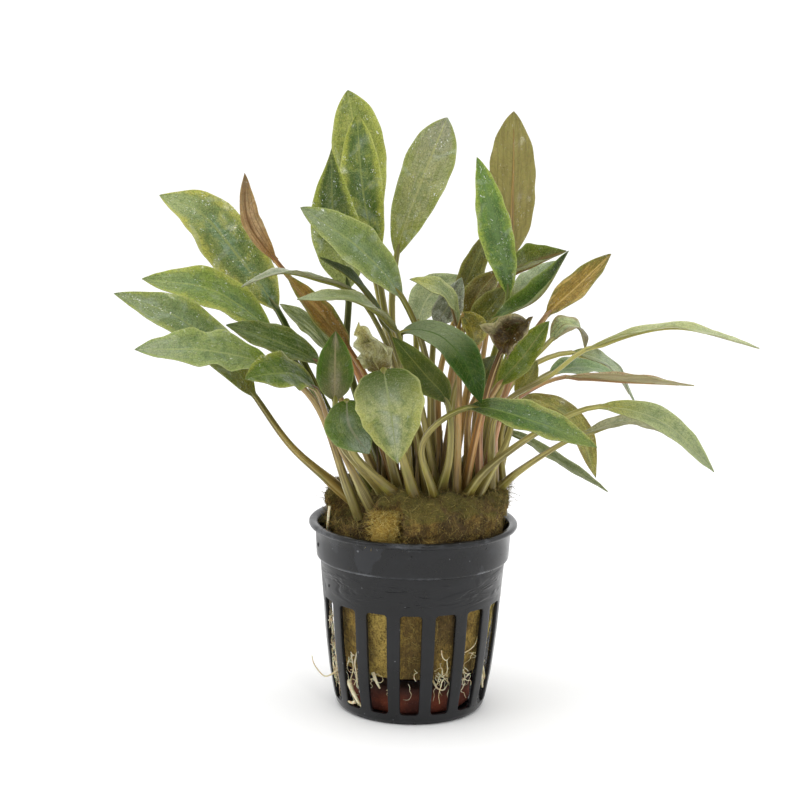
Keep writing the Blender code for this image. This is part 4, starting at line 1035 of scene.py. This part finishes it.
def make_plug(finish):
    """Rockwool plug: a rough block with a worn upper edge and a pocket where the loose chip sits."""
    rows = []
    for share in UNDER_SHARES:
        row = [plug_point(turn, PLUG_FOOT) * share for turn in turns(PLUG_COLUMNS)]
        for point in row:
            point.z = PLUG_FOOT + 0.8 * noise.noise(point / 4)
        rows.append(row)
    for height in np.concatenate([np.linspace(PLUG_FOOT, 48.0, 72), np.linspace(48.4, PLUG_TOP, 34)]):
        row = []
        for turn in turns(PLUG_COLUMNS):
            point = plug_point(turn, height)
            worn = roughen(point, Vector((cos(turn), sin(turn), 0)), 1.7 if height > 50 else 0.75)
            worn.z += max(0.0, (height - 52) / 8) * top_relief(point)
            row.append(worn)
        rows.append(row)
    for share in TOP_SHARES:
        row = []
        for turn in turns(PLUG_COLUMNS):
            point = plug_point(turn, PLUG_TOP)
            point.x, point.y = 1.0 + (point.x - 1.0) * share, point.y * share
            worn = roughen(point, Vector((0, 0, 1)), 1.3)
            worn.z += top_relief(point) * min(1.0, 2.2 * share)
            row.append(worn)
        rows.append(row)
    grid = np.array([[tuple(point) for point in row] for row in rows])
    beside, high = grid[..., 0] - CHIP_CENTRE.x, grid[..., 2] > CHIP_CENTRE.z - CHIP_SIZE.y
    pocket = (beside > -CHIP_SIZE.x / 2 - 0.2) & (beside < CHIP_SIZE.x / 2 + 1.1) & high
    grid[pocket, 1] = np.maximum(grid[pocket, 1], CHIP_CENTRE.y + CHIP_SIZE.y / 2 + 0.2)
    make_piece("rockwool_block", "rockwool", [finish], grid.reshape(-1, 3), tube_faces(*grid.shape[:2]),
               node="rockwool_plug")
    return grid


def make_chip(finish):
    """Loose rockwool chip, a lighter ragged block."""
    index, verts, faces = {}, [], []

    def vertex(point):
        """Number of the vertex for a point on the unit cube, whose edges the chip rounds off."""
        key = tuple(round(c, 4) for c in point)
        if key not in index:
            index[key] = len(verts)
            round_off = 1 - 0.12 * (sum(c ** 4 for c in point) - 1)
            solid = Vector([c * size / 2 * round_off for c, size in zip(point, CHIP_SIZE)])
            solid.x = solid.x * (1 - 0.03 * solid.z) + 0.09 * solid.z
            verts.append(roughen(solid + CHIP_CENTRE, solid.normalized(), 1.1))
        return index[key]

    for axis in range(3):
        for sign in (-1, 1):
            side = []
            for i, j in np.ndindex(CHIP_STEPS + 1, CHIP_STEPS + 1):
                point = (sign, 2 * i / CHIP_STEPS - 1, 2 * j / CHIP_STEPS - 1)
                side.append(vertex(point[-axis:] + point[:-axis]))
            faces += [tuple(side[v] for v in face) for face in sheet_faces(CHIP_STEPS + 1, CHIP_STEPS + 1)]
    make_piece("rockwool_tuft", "rockwool_light", [finish], verts, faces, node="rockwool_chip")


def fibre_body(starts, outward, rng, length, radius, stand):
    """Many thin bent fibres, each with a colour number. stand: how far they rise from the surface."""
    count = len(starts)
    rings, sides = 6, 3
    shares = rng.uniform(size=count)
    any_way = rng.normal(size=(count, 3))
    flat = unit(any_way - outward * np.sum(any_way * outward, axis=1, keepdims=True))
    way = unit(flat + outward * stand * rng.uniform(0.1, 1.0, (count, 1)))
    bend = np.cross(way, rng.normal(size=(count, 3)))
    sizes = length * rng.uniform(0.5, 1.3, (count, 1))
    u = np.linspace(0, 1, rings)[:, None]
    path = starts[:, None] + (way * sizes)[:, None] * u + (bend * sizes)[:, None] * 0.4 * u ** 2
    path -= (outward * sizes)[:, None] * 0.25 * stand * u ** 2
    side = unit(np.cross(way, outward + 0.01))
    rise = np.cross(way, side)
    thin = radius * rng.uniform(0.7, 1.3, (count, 1, 1)) * (1 - 0.6 * u)
    verts = np.stack([path + thin * (cos(a) * side + sin(a) * rise)[:, None] for a in turns(sides)], axis=2)
    size = rings * sides
    block = tube_faces(rings, sides)
    faces = [tuple(v + size * i for v in face) for i in range(count) for face in block]
    run = np.repeat(np.linspace(0, 1, rings), sides)
    return verts.reshape(-1, 3), faces, {"leaf": uv_grid(shares[:, None], run)}


def make_fibres(grid):
    """Loose fibres of the rockwool: on the sides behind the slots, above the rim, and green tufts on top."""
    rng = np.random.RandomState(11)
    wool = fibre_finish("finish_fibres", [(150, 128, 58), (172, 150, 78), (120, 98, 42), (190, 172, 104),
                                          (92, 76, 34)])
    growth = fibre_finish("finish_growth", [(92, 88, 34), (120, 106, 46), (74, 72, 26), (150, 130, 70),
                                            (96, 66, 32), (104, 106, 42)])
    straw = fibre_finish("finish_straw", [(206, 184, 96), (186, 156, 66), (222, 202, 124), (160, 128, 50)])
    # Which way they point, as factors of a place and what is added.
    sideways, upwards = ((1, 1, 0), (0, 0, 0)), ((0.012, 0.02, 0), (0, 0, 1))
    # Rows of the plug, number, way, length, radius and stand.
    for name, patch, count, (factor, added), *size, finish in (
            ("fibres_low", grid[3:81], 2600, sideways, 2.4, 0.05, 0.08, wool),
            ("fibres_high", grid[77:109], 2200, sideways, 2.0, 0.05, 0.45, wool),
            ("growth", grid[100:], 5200, upwards, 1.5, 0.055, 0.7, growth),
            ("hairs", grid[92:116], 420, upwards, 3.6, 0.06, 0.8, growth)):
        i = rng.randint(0, patch.shape[0] - 1, count)
        j = rng.randint(0, patch.shape[1], count)
        points = patch[i, j] + 0.5 * (patch[i + 1, j] - patch[i, j])
        body = fibre_body(points, unit(points * factor + added), rng, *size)
        make_piece("rockwool_" + name, "rockwool", [finish], *body)
    feet = np.array([look.base for look in LEAVES.values()]).repeat(60, axis=0)
    count = len(feet)
    turn = rng.uniform(0, 2 * pi, count)
    away = np.stack([np.cos(turn), np.sin(turn), np.full(count, 0.5)], axis=1)
    points = np.column_stack([feet, np.full(count, PLUG_TOP - 0.3)]) + away * rng.uniform(1.0, 2.3, (count, 1))
    for point in points:
        point[2] = PLUG_TOP + top_relief(Vector(point)) - rng.uniform(0.0, 0.6)
    away[:, 2] = 1.0
    make_piece("rockwool_moss", "rockwool", [growth], *fibre_body(points, unit(away), rng, 2.3, 0.07, 1.2))
    points = rng.uniform(-1, 1, (900, 3))
    faces = rng.randint(0, 3, 900)
    points[faces == 0, 1] = -1.0
    points[faces == 1, 2] = 1.0
    points[faces == 2, 0] = np.sign(points[faces == 2, 0])
    out = np.where((faces == 0)[:, None], (0.0, -1.0, 0.1), (0.0, -0.2, 1.0))
    points = np.array(CHIP_CENTRE) + points * (np.array(CHIP_SIZE) / 2 + 0.12)
    body = fibre_body(points, out, rng, 1.7, 0.06, 0.45)
    make_piece("rockwool_tuft_fibres", "rockwool_light", [straw], *body)


def make_ring(finish):
    """Clay ring with worn edges."""
    bottom, top = (0, RING_LOW) + RING_BEVEL, (0, RING_HIGH) + RING_BEVEL * (1, -1)
    wall = [(0, z) for z in np.linspace(RING_LOW + 2, RING_HIGH - 2, 4)]
    outer = np.vstack([bottom[::-1], wall, top]) * (-1, 1) + (RING_OUTER, 0)
    face = [(r, RING_HIGH) for r in (14.0, 12.5, 11.0)]
    outline = np.vstack([bottom + (RING_INNER, 0), outer, face, top[::-1] + (RING_INNER, 0)])
    verts = []
    for turn in turns(RING_TURNS):
        for radius, height in outline:
            point = Vector((radius * cos(turn), radius * sin(turn), height))
            worn = 0.16 * noise.noise(point / 3.0) + 0.08 * noise.noise(point / 0.9)
            scale = (radius + worn - 0.1) / radius
            verts.append((point.x * scale, point.y * scale, height + (0.5 * worn if height > 2 else 0.0)))
    faces = sheet_faces(RING_TURNS + 1, len(outline), wrap=True)
    faces = [tuple(v % len(verts) for v in face) for face in faces]
    make_piece("weight_ring", "clay", [finish], verts, faces, node="clay_ring", sharp=50)


def tube_body(points, radius, sides=8, steps=8, taper=0.6):
    """Round tube along a smooth curve, thinner towards its end."""
    curve = curve_through(points, steps)
    share = np.linspace(0, 1, len(curve))
    places, ways, _ = read_along(curve, share)
    side = unit(np.cross(ways, (0.31, 1.0, 0.12)))
    rise = np.cross(ways, side)
    thick = (radius * (1 - taper * share))[:, None]
    verts = np.stack([places + thick * (cos(a) * side + sin(a) * rise) for a in turns(sides)], axis=1)
    return verts.reshape(-1, 3), tube_faces(len(curve), sides), {}


def make_roots(finish):
    """The larger roots, and bundles of fine rootlets at the slots."""
    for name, (radius, points) in ROOTS.items():
        body = tube_body(points, radius, 10, 10)
        make_piece("rootlet_" + name, "root_white", [finish], *body, node="root_" + name)
    rng = np.random.RandomState(5)
    tubes = []
    for middle, level, count, reach in TANGLES:
        for _ in range(count):
            angle = radians(middle + rng.uniform(-5.0, 5.0))
            height = level + rng.uniform(-reach, reach)
            radius = wall_radius(height) - rng.uniform(0.5, 1.6)
            heading = rng.uniform(0, 2 * pi)
            points = []
            for _ in range(8):
                points.append((radius * cos(angle), radius * sin(angle), max(height, 3.4)))
                heading += rng.uniform(-0.8, 0.8)
                if abs(angle - radians(middle)) > radians(4.2):
                    heading = pi - heading
                angle += radians(2.0 * cos(heading))
                height += 0.8 * sin(heading) - 0.2
                radius = min(radius + rng.uniform(-0.25, 0.25), wall_radius(max(height, 0.0)) - 0.4)
            tubes.append(tube_body(points, rng.uniform(0.06, 0.14), 5, 4))
    tubes += [tube_body(points, radius, 7, 6) for radius, points in SMALL_ROOTS]
    verts, faces, *_ = join_parts(tubes)
    make_piece("fine_roots", "root_white", [finish], verts, faces)


def make_sheath(finish):
    """Papery scale between the plug and the left wall of the pot."""
    rows, columns = 14, 7
    t = np.linspace(0, 1, rows)[:, None]
    s = np.linspace(-1, 1, columns)
    width = 1.5 * np.sin(pi * (0.12 + 0.86 * t)) ** 0.7
    x, y, z = -22.7 + 0.5 * t + 0.5 * s * s, -7.2 + width * s, 48.8 + 6.2 * t
    layers = [np.stack(np.broadcast_arrays(x + depth, y, z), axis=-1) for depth in (0.0, 0.25)]
    verts = np.reshape(layers, (-1, 3))
    make_piece("papery_sheath", "root_white", [finish], verts, closed_sheet(rows, columns))


def make_crown(finish, count=30):
    """Short old sheaths that fill the gaps between the feet of the stalks."""
    rng = np.random.RandomState(23)
    tubes = []
    for k in range(count):
        turn = 2 * pi * k * 0.382
        reach = sqrt((k + 0.5) / count)
        x, y = 2.0 + 12.5 * reach * cos(turn), -1.0 + 10.5 * reach * sin(turn)
        tall = rng.uniform(8.0, 17.0) * (1.15 - 0.4 * reach)
        lean_x, lean_y = 0.09 * (x - 2.0) + rng.uniform(-0.8, 0.8), 0.09 * y + rng.uniform(-0.8, 0.8)
        points = [(x + share * lean_x, y + share * lean_y, PLUG_TOP + rise)
                  for share, rise in ((0, -2.5), (0.4, 0.45 * tall), (1, tall))]
        tubes.append(tube_body(points, rng.uniform(0.9, 1.35), 8, 8, 0.9))
    verts, faces, *_ = join_parts(tubes)
    make_piece("old_sheaths", "leaf_brown", [finish], verts, faces, sharp=60)


def make_floor():
    """Plain white floor, well beyond the view."""
    graph = Graph("finish_floor", (252, 252, 252))
    graph.lay((250, 250, 250), graph.noise(graph.place(), 3.0, 2.0), 0.3, 0.7)
    mesh = bpy.data.meshes.new("floor")
    corners = [(-1, -1), (1, -1), (1, 1), (-1, 1)]
    mesh.from_pydata([(x * FLOOR_REACH, y * FLOOR_REACH, 0) for x, y in corners], [], [(0, 1, 2, 3)])
    mesh.materials.append(graph.finish({"Roughness": 0.9}))
    show("floor", mesh)


def make_lights():
    """Even white studio light: a surround, dimmer high up in front, and three small soft lamps."""
    graph = Graph("studio", kind="worlds")
    _, y, z = graph.split(graph.node("TexCoord", {}, "Generated"))
    light = graph.math("MAXIMUM", graph.step(y, -0.85, -0.1, 1.3, 0.5), graph.step(z, 0.22, 0.12, 1.3))
    graph.put(graph.tree.nodes["Background"].inputs, {"Color": light, "Strength": 1.0})
    scene = bpy.context.scene
    scene.world = graph.owner
    scene.view_settings.view_transform = "Standard"
    for name, (place, aim, size, power) in LAMPS.items():
        lamp = bpy.data.lights.new(name, "AREA")
        lamp.shape = "SQUARE"
        lamp.size = size
        lamp.energy = power
        item = show(name, lamp)
        item.location = place
        item.rotation_euler = (Vector(aim) - Vector(place)).to_track_quat("-Z", "Y").to_euler()


def make_camera():
    """Camera at the photograph's place and angle."""
    place = Vector(CAMERA_PLACE)
    ahead = (Vector(CAMERA_AIM) - place).normalized()
    level = ahead.cross(Vector((0, 0, 1))).normalized()
    upright = level.cross(ahead)
    roll = radians(CAMERA_ROLL)
    right = level * cos(roll) + upright * sin(roll)
    up = upright * cos(roll) - level * sin(roll)
    lens = bpy.data.cameras.new("camera")
    lens.lens = CAMERA_LENS
    lens.sensor_width = SENSOR_WIDTH
    camera = show("camera", lens)
    camera.matrix_world = Matrix.Translation(place * MM) @ Matrix((right, up, -ahead)).transposed().to_4x4()
    bpy.context.scene.camera = camera


make_camera()
make_lights()
make_floor()
make_pot(pot_finish())
rockwool = rockwool_finish("finish_rockwool", (168, 140, 70), (134, 104, 44), (66, 46, 18), (216, 190, 98),
                           (100, 94, 36))
plug_grid = make_plug(rockwool)
make_chip(rockwool_finish("finish_chip", (214, 190, 104), (184, 152, 62), (120, 90, 32), (200, 176, 92)))
make_fibres(plug_grid)
make_ring(clay_finish())
root = root_finish()
make_roots(root)
make_sheath(root)
make_crown(crown_finish())
make_leaves()
